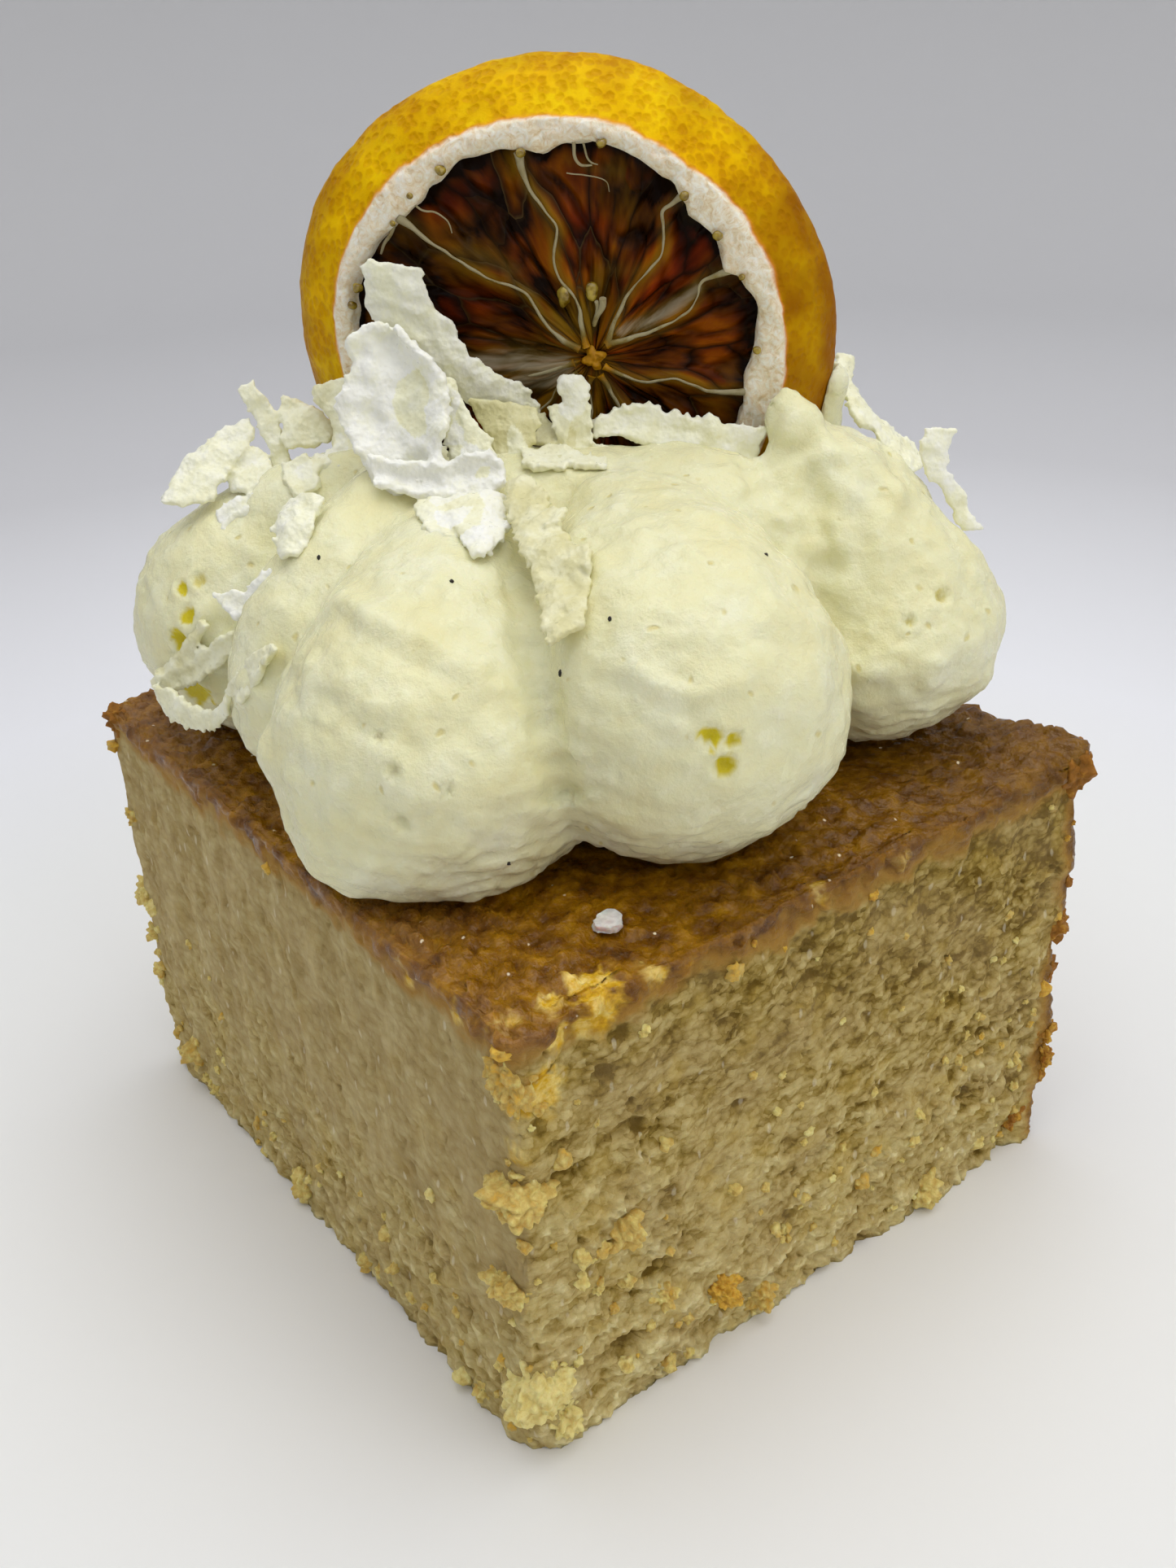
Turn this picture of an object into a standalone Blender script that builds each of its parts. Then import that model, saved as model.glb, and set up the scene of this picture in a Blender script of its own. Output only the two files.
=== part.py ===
"""A café portion of lemon coconut slice.

A dense cut block of cake with a browned top, a ring of piped cream dollops, a dried lemon
slice standing in the cream, and shaved coconut. Units are metres, +Z is up, and the origin
is the centre of the flat underside.
"""

import math
import random

import bmesh
import bpy
from mathutils import Vector, noise

MM = 0.001
GAP = 0.3 * MM  # kept between pieces that touch

# ---- the cake block -------------------------------------------------------------------
CAKE_WIDTH = 70.6 * MM  # along X; the side at +X was baked against the pan
CAKE_DEPTH = 77 * MM  # along Y
CAKE_TOP = 48.7 * MM
CAKE_CELLS = 16  # facets along each side
EDGE_ROUND = 1.6 * MM
FOOT_ROUND = 2.4 * MM  # the upright edges are chipped rounder than that at the foot
FOOT_HEIGHT = 12 * MM
FOOT_TAPER = 0.1 * MM  # the cut sides lean in towards the underside
CRAG_SIZE = 7 * MM  # spacing of the crags in the crumb
CRUST_DIP = 0.7 * MM  # depth of the wrinkles in the baked top
# How far the crumb stands out or in on each side.
ROUGHNESS = {"-X": 0.35 * MM, "+X": 1.0 * MM, "-Y": 0.75 * MM, "+Y": 0.6 * MM}

# Crumb clusters that stand proud: (centre in mm, radius in mm).
CRUMB_CLUSTERS = (
    ((-34.3, -37.0, 43.0), 2.4),
    ((-34.6, -37.2, 31.5), 2.6),
    ((-35.0, -35.6, 20.4), 2.0),
    ((-33.6, -37.2, 8.0), 3.3),
    ((-31.5, -37.6, 3.6), 2.2),
    ((-20.2, -37.3, 11.2), 2.5),
    ((-24.5, -37.5, 22.0), 2.3),
    ((-8.0, -37.4, 3.4), 2.6),
    ((33.6, -37.0, 46.6), 2.4),
    ((34.6, -36.6, 27.6), 2.3),
    ((34.4, -36.4, 21.0), 2.1),
    ((33.8, -36.6, 15.0), 2.0),
    ((31.6, -36.4, 3.4), 2.2),
    ((35.0, -20.0, 33.0), 2.6),
    ((35.0, 4.0, 18.0), 2.8),
    ((35.2, 22.0, 38.0), 2.4),
    ((34.8, 34.0, 9.0), 2.5),
    ((-34.0, 36.4, 46.6), 2.3),
    ((-34.6, 30.0, 5.0), 2.1),
    ((10.0, 37.6, 24.0), 2.6),
    ((-18.0, 37.6, 12.0), 2.4),
)

# Smaller ones are strewn along the upright edges and the foot by a seeded rule.
STREWN_CRUMBS = 20
STREWN_SEED = 3
STREWN_RADII = (1.1, 1.9)  # mm
STREWN_SINK = 0.6  # mm, how far their centres lie inside the block
EDGE_HEIGHTS = (8, 46)  # mm
FOOT_HEIGHTS = (0.6, 3.0)  # mm
SHARE_ON_EDGES = 0.45

# ---- the cream ------------------------------------------------------------------------
# One dollop: foot (x, y, height of its ball's centre), ball radius, tip, tip radius, and
# plumpness, which over 1 keeps it wide for longer. In mm, heights from the cake's top.
DOLLOPS = {
    "near": ((-22.7, -11.2, 9.7), 14.9, (-10.0, 2.0, 20.0), 8.0, 1.5),
    "front": ((-5.8, -23.7, 13.6), 15.0, (2.5, -7.0, 20.5), 9.0, 1.5),
    "right": ((23.0, -20.0, 11.8), 12.5, (15.3, -12.8, 33.0), 1.2, 1.0),
    "pan_side": ((25.4, 0.5, 12.0), 12.2, (26.3, -9.3, 32.4), 2.2, 1.1),
    "back_right": ((20.5, 22.5, 11.5), 13.0, (10.5, 12.0, 29.0), 4.0, 1.3),
    "back": ((-1.5, 25.5, 11.5), 13.0, (1.5, 14.0, 29.0), 4.0, 1.3),
    "left": ((-22.6, 23.4, 11.2), 12.4, (-12.0, 15.5, 22.5), 5.5, 1.5),
    "middle_left": ((-23.4, 4.8, 10.6), 10.8, (-12.0, 8.0, 24.0), 6.0, 1.5),
    "collar": ((-7.0, 3.5, 20.3), 9.0, (8.8, -10.6, 21.3), 8.4, 1.0),
    "core": ((3.0, 4.0, 3.0), 17.0, (3.2, 4.2, 10.0), 10.0, 1.5),
}
DOLLOP_SIDES = 14
BALL_RINGS = 5
BODY_RINGS = 5
DOLLOP_SAG = 2.0 * MM  # how far the middle of a dollop's spine hangs outwards
CREAM_WOBBLE = 0.45 * MM
WOBBLE_SIZE = 9 * MM

# ---- the dried lemon slice ------------------------------------------------------------
LEMON_CENTRE = Vector((2.4, 3.2, 85.7)) * MM  # of the face that looks at the viewer
LEMON_YAW = math.radians(-43)
LEMON_LEAN = math.radians(-1.5)
FACE_RADIUS = 21.5 * MM
BACK_RADIUS = 26.3 * MM
LEMON_THICK = 6.5 * MM
PEEL_BULGE = 0.9 * MM
SEAT_SIDES = 48  # of the outline that the slice's seat in the cream is cut with
PITH_WIDTH = 2.4 * MM
PITH_POINTS = 1.2 * MM  # how far the pith reaches in where a membrane meets it
FLESH_DEPTH = 2.2 * MM  # how far the dried flesh has sunk below the pith on both faces
MEMBRANE_DEPTH = 0.9 * MM  # and how far the membranes' edges have
MEMBRANE_WIDTH = 1.0 * MM
CORE_PLACE = (3.3 * MM, -0.6 * MM)  # where the membranes meet, right and up from the centre
CORE_SHARE = 0.1  # of the way to the pith
# Where each membrane meets the pith, in degrees anticlockwise round the slice.
MEMBRANE_ANGLES = (25, 51, 99, 139, 157, 190, 227, 276, 313, 347)
FLESH_RINGS = (CORE_SHARE, 0.22, 0.45, 0.7, 0.93)

# ---- the coconut ----------------------------------------------------------------------
# One shaving: the points its middle runs through, its half width at each of them (all in
# mm), the way its face looks, and how far it is bowed.
LARGE_FLAKES = {
    "coconut_flake_tall": [
        (
            ((-9.6, 12.2, 94.8), (-8.4, 11.4, 89.2), (-4.6, 8.2, 84.0), (-1.0, 4.9, 80.2)),
            (2.4, 3.6, 3.6, 1.3),
            (-0.68, -0.73, 0.1),
            0.5,
        ),
    ],
    "coconut_flake_curled": [
        (
            ((-12.8, 9.4, 89.2), (-14.0, 6.4, 83.4), (-16.4, 2.6, 79.6), (-19.4, -2.2, 76.2)),
            (2.0, 5.4, 4.6, 1.4),
            (-0.75, -0.55, 0.35),
            2.0,
        ),
        (
            ((-16.6, 0.6, 79.2), (-12.8, -0.8, 78.6), (-8.6, -1.6, 77.8)),
            (1.4, 1.9, 1.5),
            (-0.4, -0.75, 0.5),
            0.3,
        ),
    ],
    "coconut_flake_slab": [
        (
            ((-7.0, -4.4, 79.0), (-10.0, -9.8, 77.2), (-13.4, -15.6, 75.4), (-17.6, -22.6, 73.0)),
            (1.7, 2.3, 2.4, 2.1),
            (-0.6, -0.2, 0.78),
            0.3,
        ),
    ],
    "coconut_flake_bar": [
        (
            ((3.9, -0.5, 80.2), (6.6, -4.3, 80.3), (9.7, -9.1, 79.9), (12.4, -13.0, 79.4)),
            (1.2, 1.7, 1.6, 1.3),
            (-0.6, -0.72, 0.35),
            0.4,
        ),
    ],
}
# Small shavings stuck to the cream where the front of the slice shows them.
SMALL_FLAKES = (
    (((-28.6, 24.6, 73.6), (-26.0, 24.2, 75.2), (-20.8, 23.6, 78.6)), (1.6, 2.2, 0.9), (-0.5, -0.4, 0.8)),
    (((-19.2, 26.0, 82.2), (-19.4, 23.4, 78.8), (-19.6, 20.6, 74.0)), (0.7, 1.1, 0.9), (-0.6, -0.7, 0.3)),
    (((-16.8, 23.0, 81.0), (-18.0, 21.0, 78.0), (-18.6, 18.4, 74.2)), (1.0, 1.2, 0.8), (-0.6, -0.5, 0.6)),
    (((-17.6, 20.8, 78.8), (-15.0, 16.6, 78.2)), (1.3, 1.0), (-0.3, -0.4, 0.9)),
    (((-15.2, 20.0, 82.2), (-14.4, 17.2, 80.4), (-14.6, 15.4, 76.6)), (1.3, 1.4, 1.0), (-0.6, -0.6, 0.4)),
    (((-22.0, 22.2, 76.4), (-23.4, 20.2, 73.8)), (1.7, 1.5), (-0.5, -0.3, 0.8)),
    (((-22.8, 20.0, 74.4), (-18.0, 17.4, 76.0)), (0.7, 0.6), (-0.4, -0.2, 0.9)),
    (((-22.6, 18.4, 73.6), (-18.4, 16.6, 75.0)), (0.7, 0.6), (-0.4, -0.2, 0.9)),
    (((-27.2, 18.8, 71.2), (-24.9, 18.4, 72.2), (-22.2, 16.8, 72.9)), (0.6, 1.0, 0.8), (-0.6, -0.3, 0.75)),
    (((-22.8, 6.7, 74.9), (-25.4, 5.9, 73.3), (-27.6, 5.2, 71.2)), (1.2, 2.1, 1.5), (-0.6, -0.2, 0.8)),
    (((-30.6, 13.2, 66.8), (-29.8, 9.1, 68.4), (-28.8, 5.6, 70.2)), (0.8, 1.4, 1.2), (-0.8, -0.4, 0.5)),
    (((-31.4, 17.4, 64.0), (-33.4, 17.6, 61.4), (-34.6, 19.8, 58.6)), (0.5, 0.6, 0.6), (-0.9, -0.4, 0.1)),
    (((-34.8, 19.6, 57.6), (-33.6, 16.8, 59.4), (-31.0, 13.8, 61.6)), (0.6, 0.7, 0.6), (-0.9, -0.4, 0.1)),
    (((-34.9, 19.0, 56.6), (-35.2, 13.6, 55.6), (-34.6, 8.8, 57.0)), (0.6, 0.7, 0.6), (-0.9, -0.2, 0.1)),
    (((-34.6, 8.9, 57.0), (-34.2, 5.9, 60.6), (-32.6, 2.4, 64.8)), (0.6, 0.6, 0.5), (-0.9, 0.1, 0.4)),
    (((-14.6, -3.2, 76.2), (-15.8, -7.2, 75.6), (-17.0, -10.6, 74.8)), (1.5, 1.8, 1.4), (-0.1, -0.2, 1.0)),
    (((-11.6, -3.6, 76.0), (-12.8, -8.6, 75.0)), (1.4, 1.5), (0.1, -0.2, 1.0)),
    (((-5.2, 6.1, 79.2), (-4.6, 3.2, 78.4), (-5.4, 0.4, 77.6)), (1.6, 1.9, 1.2), (-0.4, -0.5, 0.8)),
    (((2.0, -0.6, 82.4), (1.6, -1.6, 80.0), (1.0, -3.2, 77.8)), (0.9, 1.5, 1.4), (-0.6, -0.7, 0.3)),
    (((-4.4, -0.4, 78.2), (-2.2, -3.2, 78.5), (0.2, -5.8, 78.4)), (1.2, 1.4, 1.1), (-0.1, -0.1, 1.0)),
    (((30.6, -20.6, 77.6), (29.0, -21.2, 75.2), (28.6, -22.2, 71.8)), (1.4, 1.2, 1.8), (-0.5, -0.8, 0.2)),
    (((27.2, -12.8, 77.2), (27.8, -14.6, 74.8), (28.6, -17.0, 72.4)), (0.8, 1.0, 0.8), (0.3, -0.6, 0.7)),
)
# More of them lie over the dollops that face away, thrown on by a seeded rule.
BACK_FLAKES = 14
BACK_FLAKE_SEED = 7
BACK_BEARINGS = (-10, 150)  # degrees round the slice, from +X
BACK_REACH = (12, 31)  # mm from the middle
BACK_LENGTHS = (2.0, 4.5)  # mm, half of each
BACK_WIDTHS = (0.8, 1.9)  # mm, half of each
LEMON_CLEARANCE = 6 * MM  # they keep this far off the lemon slice
SURFACE_TILT = 0.25  # and off cream that is steeper than this
FLAKE_THICK = 0.9 * MM
LARGE_CELLS = (9, 4)  # along and across
SMALL_CELLS = (3, 1)


def grain(point, size, seed=0.0):
    """Smooth noise from about -1 to 1, with features of the given size."""
    return noise.fractal(point / size + Vector((seed, 1.7 * seed, -seed)), 0.7, 2.0, 3)


def material(name, rgb, roughness):
    made = bpy.data.materials.new(name)
    made.use_nodes = True
    shader = made.node_tree.nodes["Principled BSDF"]
    shader.inputs["Base Color"].default_value = (*rgb, 1)
    shader.inputs["Roughness"].default_value = roughness
    shader.inputs["Metallic"].default_value = 0
    return made


def add_object(name, bm, finish=None):
    """Turns a bmesh into an object at the origin, with its faces pointing out."""
    bmesh.ops.recalc_face_normals(bm, faces=bm.faces[:])
    mesh = bpy.data.meshes.new(name)
    bm.to_mesh(mesh)
    bm.free()
    obj = bpy.data.objects.new(name, mesh)
    bpy.context.scene.collection.objects.link(obj)
    if finish:
        mesh.materials.append(finish)
    return obj


def combine(target, others, operation):
    """Joins others to target, or cuts them from it, and removes them."""
    group = bpy.data.collections.new("joined")
    bpy.context.scene.collection.children.link(group)
    for other in others:
        for home in list(other.users_collection):
            home.objects.unlink(other)
        group.objects.link(other)
    modifier = target.modifiers.new("combine", "BOOLEAN")
    modifier.operation = operation
    modifier.operand_type = "COLLECTION"
    modifier.collection = group
    modifier.solver = "EXACT"
    bpy.context.view_layer.objects.active = target
    bpy.ops.object.modifier_apply(modifier=modifier.name)
    for other in others:
        bpy.data.objects.remove(other)
    bpy.data.collections.remove(group)


def keep_largest(obj):
    """Drops the scraps that a cut leaves loose."""
    bm = bmesh.new()
    bm.from_mesh(obj.data)
    islands, unseen = [], set(bm.verts)
    while unseen:
        stack = [unseen.pop()]
        island = set(stack)
        while stack:
            for edge in stack.pop().link_edges:
                fresh = set(edge.verts) & unseen
                unseen -= fresh
                island |= fresh
                stack.extend(fresh)
        islands.append(island)
    islands.sort(key=len)
    for island in islands[:-1]:
        bmesh.ops.delete(bm, geom=list(island), context="VERTS")
    bm.to_mesh(obj.data)
    bm.free()


# ---- cake -----------------------------------------------------------------------------
def side_of(normal):
    axis = 0 if abs(normal.x) > abs(normal.y) else 1
    return ("-" if normal[axis] < 0 else "+") + "XY"[axis]


def cake_surface(unit):
    """Where a point of the unit cube lies on the cake."""
    half = Vector((CAKE_WIDTH, CAKE_DEPTH, CAKE_TOP)) / 2
    flat = Vector((2 * unit.x * half.x, 2 * unit.y * half.y, (unit.z + 0.5) * CAKE_TOP))
    near_foot = max(0.0, 1 - flat.z / FOOT_HEIGHT)
    edge = EDGE_ROUND + FOOT_ROUND * near_foot**2
    reach = Vector((half.x - edge, half.y - edge))
    inner = Vector(
        (
            max(-reach.x, min(reach.x, flat.x)),
            max(-reach.y, min(reach.y, flat.y)),
            min(flat.z, CAKE_TOP - EDGE_ROUND),
        )
    )
    normal = (flat - inner).normalized()
    point = inner + normal * (EDGE_ROUND if normal.z > 0 else edge)
    sideways = Vector((normal.x, normal.y, 0))
    if sideways.length > 0.3:
        depth = ROUGHNESS[side_of(sideways)] * grain(point, CRAG_SIZE)
        low = 1 - point.z / CAKE_TOP
        point += sideways.normalized() * (depth - FOOT_TAPER * low**2)
    if normal.z > 0.5:
        point.z -= CRUST_DIP * (0.5 + 0.5 * grain(point, CRAG_SIZE, 5.0))
    point.z = max(0.0, min(CAKE_TOP, point.z))
    return point


def crumb_cluster(centre, radius, seed):
    bm = bmesh.new()
    bmesh.ops.create_icosphere(bm, subdivisions=1, radius=radius)
    for vert in bm.verts:
        vert.co *= 1 + 0.35 * grain(vert.co, radius, seed)
        vert.co += centre
        vert.co.z = max(vert.co.z, 0.2 * MM)
    return add_object("crumb", bm)


def strewn_crumbs():
    """Crumb clusters on the block's upright edges and round its foot."""
    chance = random.Random(STREWN_SEED)
    half_x = CAKE_WIDTH / 2 / MM - STREWN_SINK
    half_y = CAKE_DEPTH / 2 / MM - STREWN_SINK
    for _ in range(STREWN_CRUMBS):
        radius = chance.uniform(*STREWN_RADII)
        across, deep = chance.choice((-1, 1)), chance.choice((-1, 1))
        heights = EDGE_HEIGHTS
        if chance.random() > SHARE_ON_EDGES:
            heights = FOOT_HEIGHTS
            if chance.random() < 0.5:
                across = chance.uniform(-0.9, 0.9)
            else:
                deep = chance.uniform(-0.9, 0.9)
        yield (across * half_x, deep * half_y, chance.uniform(*heights)), radius


def make_cake():
    bm = bmesh.new()
    bmesh.ops.create_cube(bm, size=1.0)
    bmesh.ops.subdivide_edges(bm, edges=bm.edges[:], cuts=CAKE_CELLS - 1, use_grid_fill=True)
    under = [face for face in bm.faces if face.calc_center_median().z < -0.49]
    bmesh.ops.dissolve_faces(bm, faces=under)
    for vert in bm.verts:
        vert.co = cake_surface(vert.co.copy())
    bmesh.ops.triangulate(bm, faces=bm.faces[:])
    cake = add_object("cake", bm, material("baked crumb", (0.50, 0.37, 0.17), 0.75))
    crumbs = [
        crumb_cluster(Vector(centre) * MM, radius * MM, index)
        for index, (centre, radius) in enumerate([*CRUMB_CLUSTERS, *strewn_crumbs()])
    ]
    combine(cake, crumbs, "UNION")
    return cake


# ---- cream ----------------------------------------------------------------------------
def dollop(name, foot, ball, tip, tip_radius, plumpness, swell=0.0):
    """A ball that is drawn up and inwards to its tip, with swell added all round."""
    foot = Vector(foot) * MM + Vector((0, 0, CAKE_TOP))
    tip = Vector(tip) * MM + Vector((0, 0, CAKE_TOP))
    ball, tip_radius = ball * MM + swell, tip_radius * MM + swell
    outward = Vector((foot.x - tip.x, foot.y - tip.y, 0)).normalized()
    middle = (foot + tip) / 2 + outward * 2 * DOLLOP_SAG

    def spine(share):
        here = foot * (1 - share) ** 2 + middle * 2 * share * (1 - share) + tip * share**2
        heading = (middle - foot) * (1 - share) + (tip - middle) * share
        return here, heading.normalized()

    rings = []  # (centre, direction, radius)
    start, first = spine(0)
    for step in range(1, BALL_RINGS):
        turn = math.pi / 2 * step / BALL_RINGS
        rings.append((start - first * ball * math.cos(turn), first, ball * math.sin(turn)))
    for step in range(BODY_RINGS + 1):
        share = step / BODY_RINGS
        radius = tip_radius + (ball - tip_radius) * (1 - share**plumpness)
        rings.append((*spine(share), radius))
    end, last = spine(1)
    for turn in (math.radians(35), math.radians(65)):
        rings.append((end + last * tip_radius * math.sin(turn), last, tip_radius * math.cos(turn)))

    bm = bmesh.new()
    sideways = Vector((-outward.y, outward.x, 0))
    loops = []
    for centre, heading, radius in rings:
        across = heading.cross(sideways).normalized()
        loop = []
        for side in range(DOLLOP_SIDES):
            angle = 2 * math.pi * side / DOLLOP_SIDES
            point = centre + radius * (math.cos(angle) * sideways + math.sin(angle) * across)
            point += (point - centre).normalized() * CREAM_WOBBLE * grain(point, WOBBLE_SIZE)
            loop.append(bm.verts.new(point))
        loops.append(loop)
    for lower, upper in zip(loops, loops[1:]):
        for side in range(DOLLOP_SIDES):
            after = (side + 1) % DOLLOP_SIDES
            bm.faces.new((lower[side], lower[after], upper[after], upper[side]))
    for loop, centre in ((loops[0], start - first * ball), (loops[-1], end + last * tip_radius)):
        pole = bm.verts.new(centre)
        for side in range(DOLLOP_SIDES):
            bm.faces.new((loop[side], loop[(side + 1) % DOLLOP_SIDES], pole))
    bmesh.ops.triangulate(bm, faces=bm.faces[:])
    return add_object(name, bm)


def block(name, low, high):
    bm = bmesh.new()
    bmesh.ops.create_cube(bm, size=1.0)
    bmesh.ops.scale(bm, vec=high - low, verts=bm.verts[:])
    bmesh.ops.translate(bm, vec=(low + high) / 2, verts=bm.verts[:])
    return add_object(name, bm)


def below_cream():
    """Everything lower than the cream's flat underside."""
    reach = Vector((80, 80, 0)) * MM
    return block("below", -reach, reach + Vector((0, 0, CAKE_TOP + GAP)))


# ---- lemon ----------------------------------------------------------------------------
def lemon_axes():
    """The slice's right, up and facing directions."""
    level = Vector((math.sin(LEMON_YAW), -math.cos(LEMON_YAW), 0))
    facing = math.cos(LEMON_LEAN) * level + math.sin(LEMON_LEAN) * Vector((0, 0, 1))
    right = Vector((math.cos(LEMON_YAW), math.sin(LEMON_YAW), 0))
    return right, facing.cross(right), facing


def in_lemon(right, up, forward):
    axes = lemon_axes()
    return LEMON_CENTRE + axes[0] * right + axes[1] * up + axes[2] * forward


def rim_wave(angle):
    """The rim isn't quite round: 1 is round."""
    return 1 + 0.018 * math.cos(2 * angle - 4.6) + 0.008 * math.sin(5 * angle + 0.6)


def polar(radius, angle, forward):
    return in_lemon(radius * math.cos(angle), radius * math.sin(angle), forward)


def flesh_angles(share):
    """(angle, is membrane) round the slice: each membrane's two edges and the dips between."""
    half = math.degrees(MEMBRANE_WIDTH / 2 / (FACE_RADIUS * max(share, 2 * CORE_SHARE)))
    ends = MEMBRANE_ANGLES[1:] + (MEMBRANE_ANGLES[0] + 360,)
    for start, end in zip(MEMBRANE_ANGLES, ends):
        first, last = start + half, end - half
        yield math.radians(start - half), True
        yield math.radians(first), True
        for part in (0.15, 0.5, 0.85):
            yield math.radians(first + (last - first) * part), False


def flesh_ring(share, outer_radius, face):
    """One ring of the sunken flesh; face is 1 at the front and -1 at the back."""
    ring = []
    for angle, membrane in flesh_angles(share):
        reach = (outer_radius - PITH_WIDTH) * rim_wave(angle) - PITH_POINTS * membrane
        rim = Vector((reach * math.cos(angle), reach * math.sin(angle)))
        flat = Vector(CORE_PLACE).lerp(rim, share)
        depth = MEMBRANE_DEPTH if membrane or share == CORE_SHARE else FLESH_DEPTH
        if share == 1.0:
            depth = 0.1 * MM
        ring.append(in_lemon(flat.x, flat.y, -depth if face > 0 else depth - LEMON_THICK))
    return ring


def make_lemon():
    angles = [angle for angle, _ in flesh_angles(1.0)]
    outside = (
        (FACE_RADIUS, -0.2 * MM),
        ((FACE_RADIUS + BACK_RADIUS) / 2 + PEEL_BULGE, -LEMON_THICK / 2),
        (BACK_RADIUS, -LEMON_THICK + 0.7 * MM),
        (BACK_RADIUS - 0.7 * MM, -LEMON_THICK),
    )
    rings = [flesh_ring(share, FACE_RADIUS, 1) for share in (*FLESH_RINGS, 1.0)]
    for radius, forward in outside:
        rings.append([polar(radius * rim_wave(angle), angle, forward) for angle in angles])
    rings += [flesh_ring(share, BACK_RADIUS, -1) for share in (1.0, *reversed(FLESH_RINGS))]

    bm = bmesh.new()
    loops = [[bm.verts.new(point) for point in ring] for ring in rings]
    count = len(angles)
    for inner, outer in zip(loops, loops[1:]):
        for index in range(count):
            after = (index + 1) % count
            bm.faces.new((inner[index], inner[after], outer[after], outer[index]))
    middle = bm.verts.new(in_lemon(*CORE_PLACE, -MEMBRANE_DEPTH))
    behind = bm.verts.new(in_lemon(*CORE_PLACE, MEMBRANE_DEPTH - LEMON_THICK))
    for loop, pole in ((loops[0], middle), (loops[-1], behind)):
        for index in range(count):
            bm.faces.new((loop[index], loop[(index + 1) % count], pole))
    bmesh.ops.triangulate(bm, faces=bm.faces[:])
    return add_object("lemon_slice", bm, material("dried lemon", (0.75, 0.38, 0.03), 0.5))


def lemon_room():
    """The slice's outer form grown by the gap, to cut its seat in the cream."""
    bm = bmesh.new()
    loops = []
    for radius, forward in (
        (FACE_RADIUS, GAP),
        ((FACE_RADIUS + BACK_RADIUS) / 2 + PEEL_BULGE, -LEMON_THICK / 2),
        (BACK_RADIUS, -LEMON_THICK - GAP),
    ):
        loop = []
        for index in range(SEAT_SIDES):
            angle = 2 * math.pi * index / SEAT_SIDES
            grown = radius * rim_wave(angle) + 2 * GAP
            loop.append(bm.verts.new(polar(grown, angle, forward)))
        loops.append(loop)
    for inner, outer in zip(loops, loops[1:]):
        for index in range(SEAT_SIDES):
            after = (index + 1) % SEAT_SIDES
            bm.faces.new((inner[index], inner[after], outer[after], outer[index]))
    bm.faces.new(loops[0])
    bm.faces.new(loops[-1])
    bmesh.ops.triangulate(bm, faces=bm.faces[:])
    return add_object("lemon room", bm)


# ---- coconut --------------------------------------------------------------------------
def on_curve(values, share):
    """The value at a share of the way through a list, on a smooth curve."""
    last = len(values) - 1
    at = min(int(share * last), last - 1)
    part = share * last - at
    before, here = values[max(at - 1, 0)], values[at]
    after, beyond = values[at + 1], values[min(at + 2, last)]
    slope_here, slope_after = (after - before) / 2, (beyond - here) / 2
    return (
        here * (2 * part**3 - 3 * part**2 + 1)
        + slope_here * (part**3 - 2 * part**2 + part)
        + after * (3 * part**2 - 2 * part**3)
        + slope_after * (part**3 - part**2)
    )


def shaving(name, points, half_widths, facing, bow=0.0, cells=SMALL_CELLS):
    """A thin wavy piece of coconut, its two faces split into triangles alike."""
    rows, columns = cells
    middle = [Vector(point) * MM for point in points]
    facing = Vector(facing).normalized()
    seed = sum(middle, Vector()).x / MM

    def surface(row, column, face):
        share, side = row / rows, column / columns * 2 - 1
        here = on_curve(middle, share)
        ahead = on_curve(middle, min(share + 0.02, 1.0)) - on_curve(middle, max(share - 0.02, 0.0))
        across = ahead.cross(facing).normalized()
        normal = across.cross(ahead).normalized()
        ragged = 1 + 0.22 * noise.noise(Vector((share * 5, seed, side)))
        ripple = 0.35 * MM * noise.noise(Vector((share * 3, side * 1.5, seed)))
        lift = bow * MM * (0.5 - side * side) + ripple + face * FLAKE_THICK / 2
        half_width = on_curve(half_widths, share) * ragged * MM
        return here + across * side * half_width + normal * lift

    bm = bmesh.new()
    sheets = {
        face: [
            [bm.verts.new(surface(row, column, face)) for column in range(columns + 1)]
            for row in range(rows + 1)
        ]
        for face in (-1, 1)
    }
    for sheet in sheets.values():
        for row in range(rows):
            for column in range(columns):
                corner, right = sheet[row][column], sheet[row][column + 1]
                far, far_right = sheet[row + 1][column], sheet[row + 1][column + 1]
                bm.faces.new((corner, right, far_right))
                bm.faces.new((corner, far_right, far))
    low, high = sheets[-1], sheets[1]
    border = [(0, column) for column in range(columns)]
    border += [(row, columns) for row in range(rows)]
    border += [(rows, column) for column in range(columns, 0, -1)]
    border += [(row, 0) for row in range(rows, 0, -1)]
    for here, after in zip(border, border[1:] + border[:1]):
        a, b = low[here[0]][here[1]], low[after[0]][after[1]]
        c, d = high[after[0]][after[1]], high[here[0]][here[1]]
        bm.faces.new((a, b, c))
        bm.faces.new((a, c, d))
    return add_object(name, bm)


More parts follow.
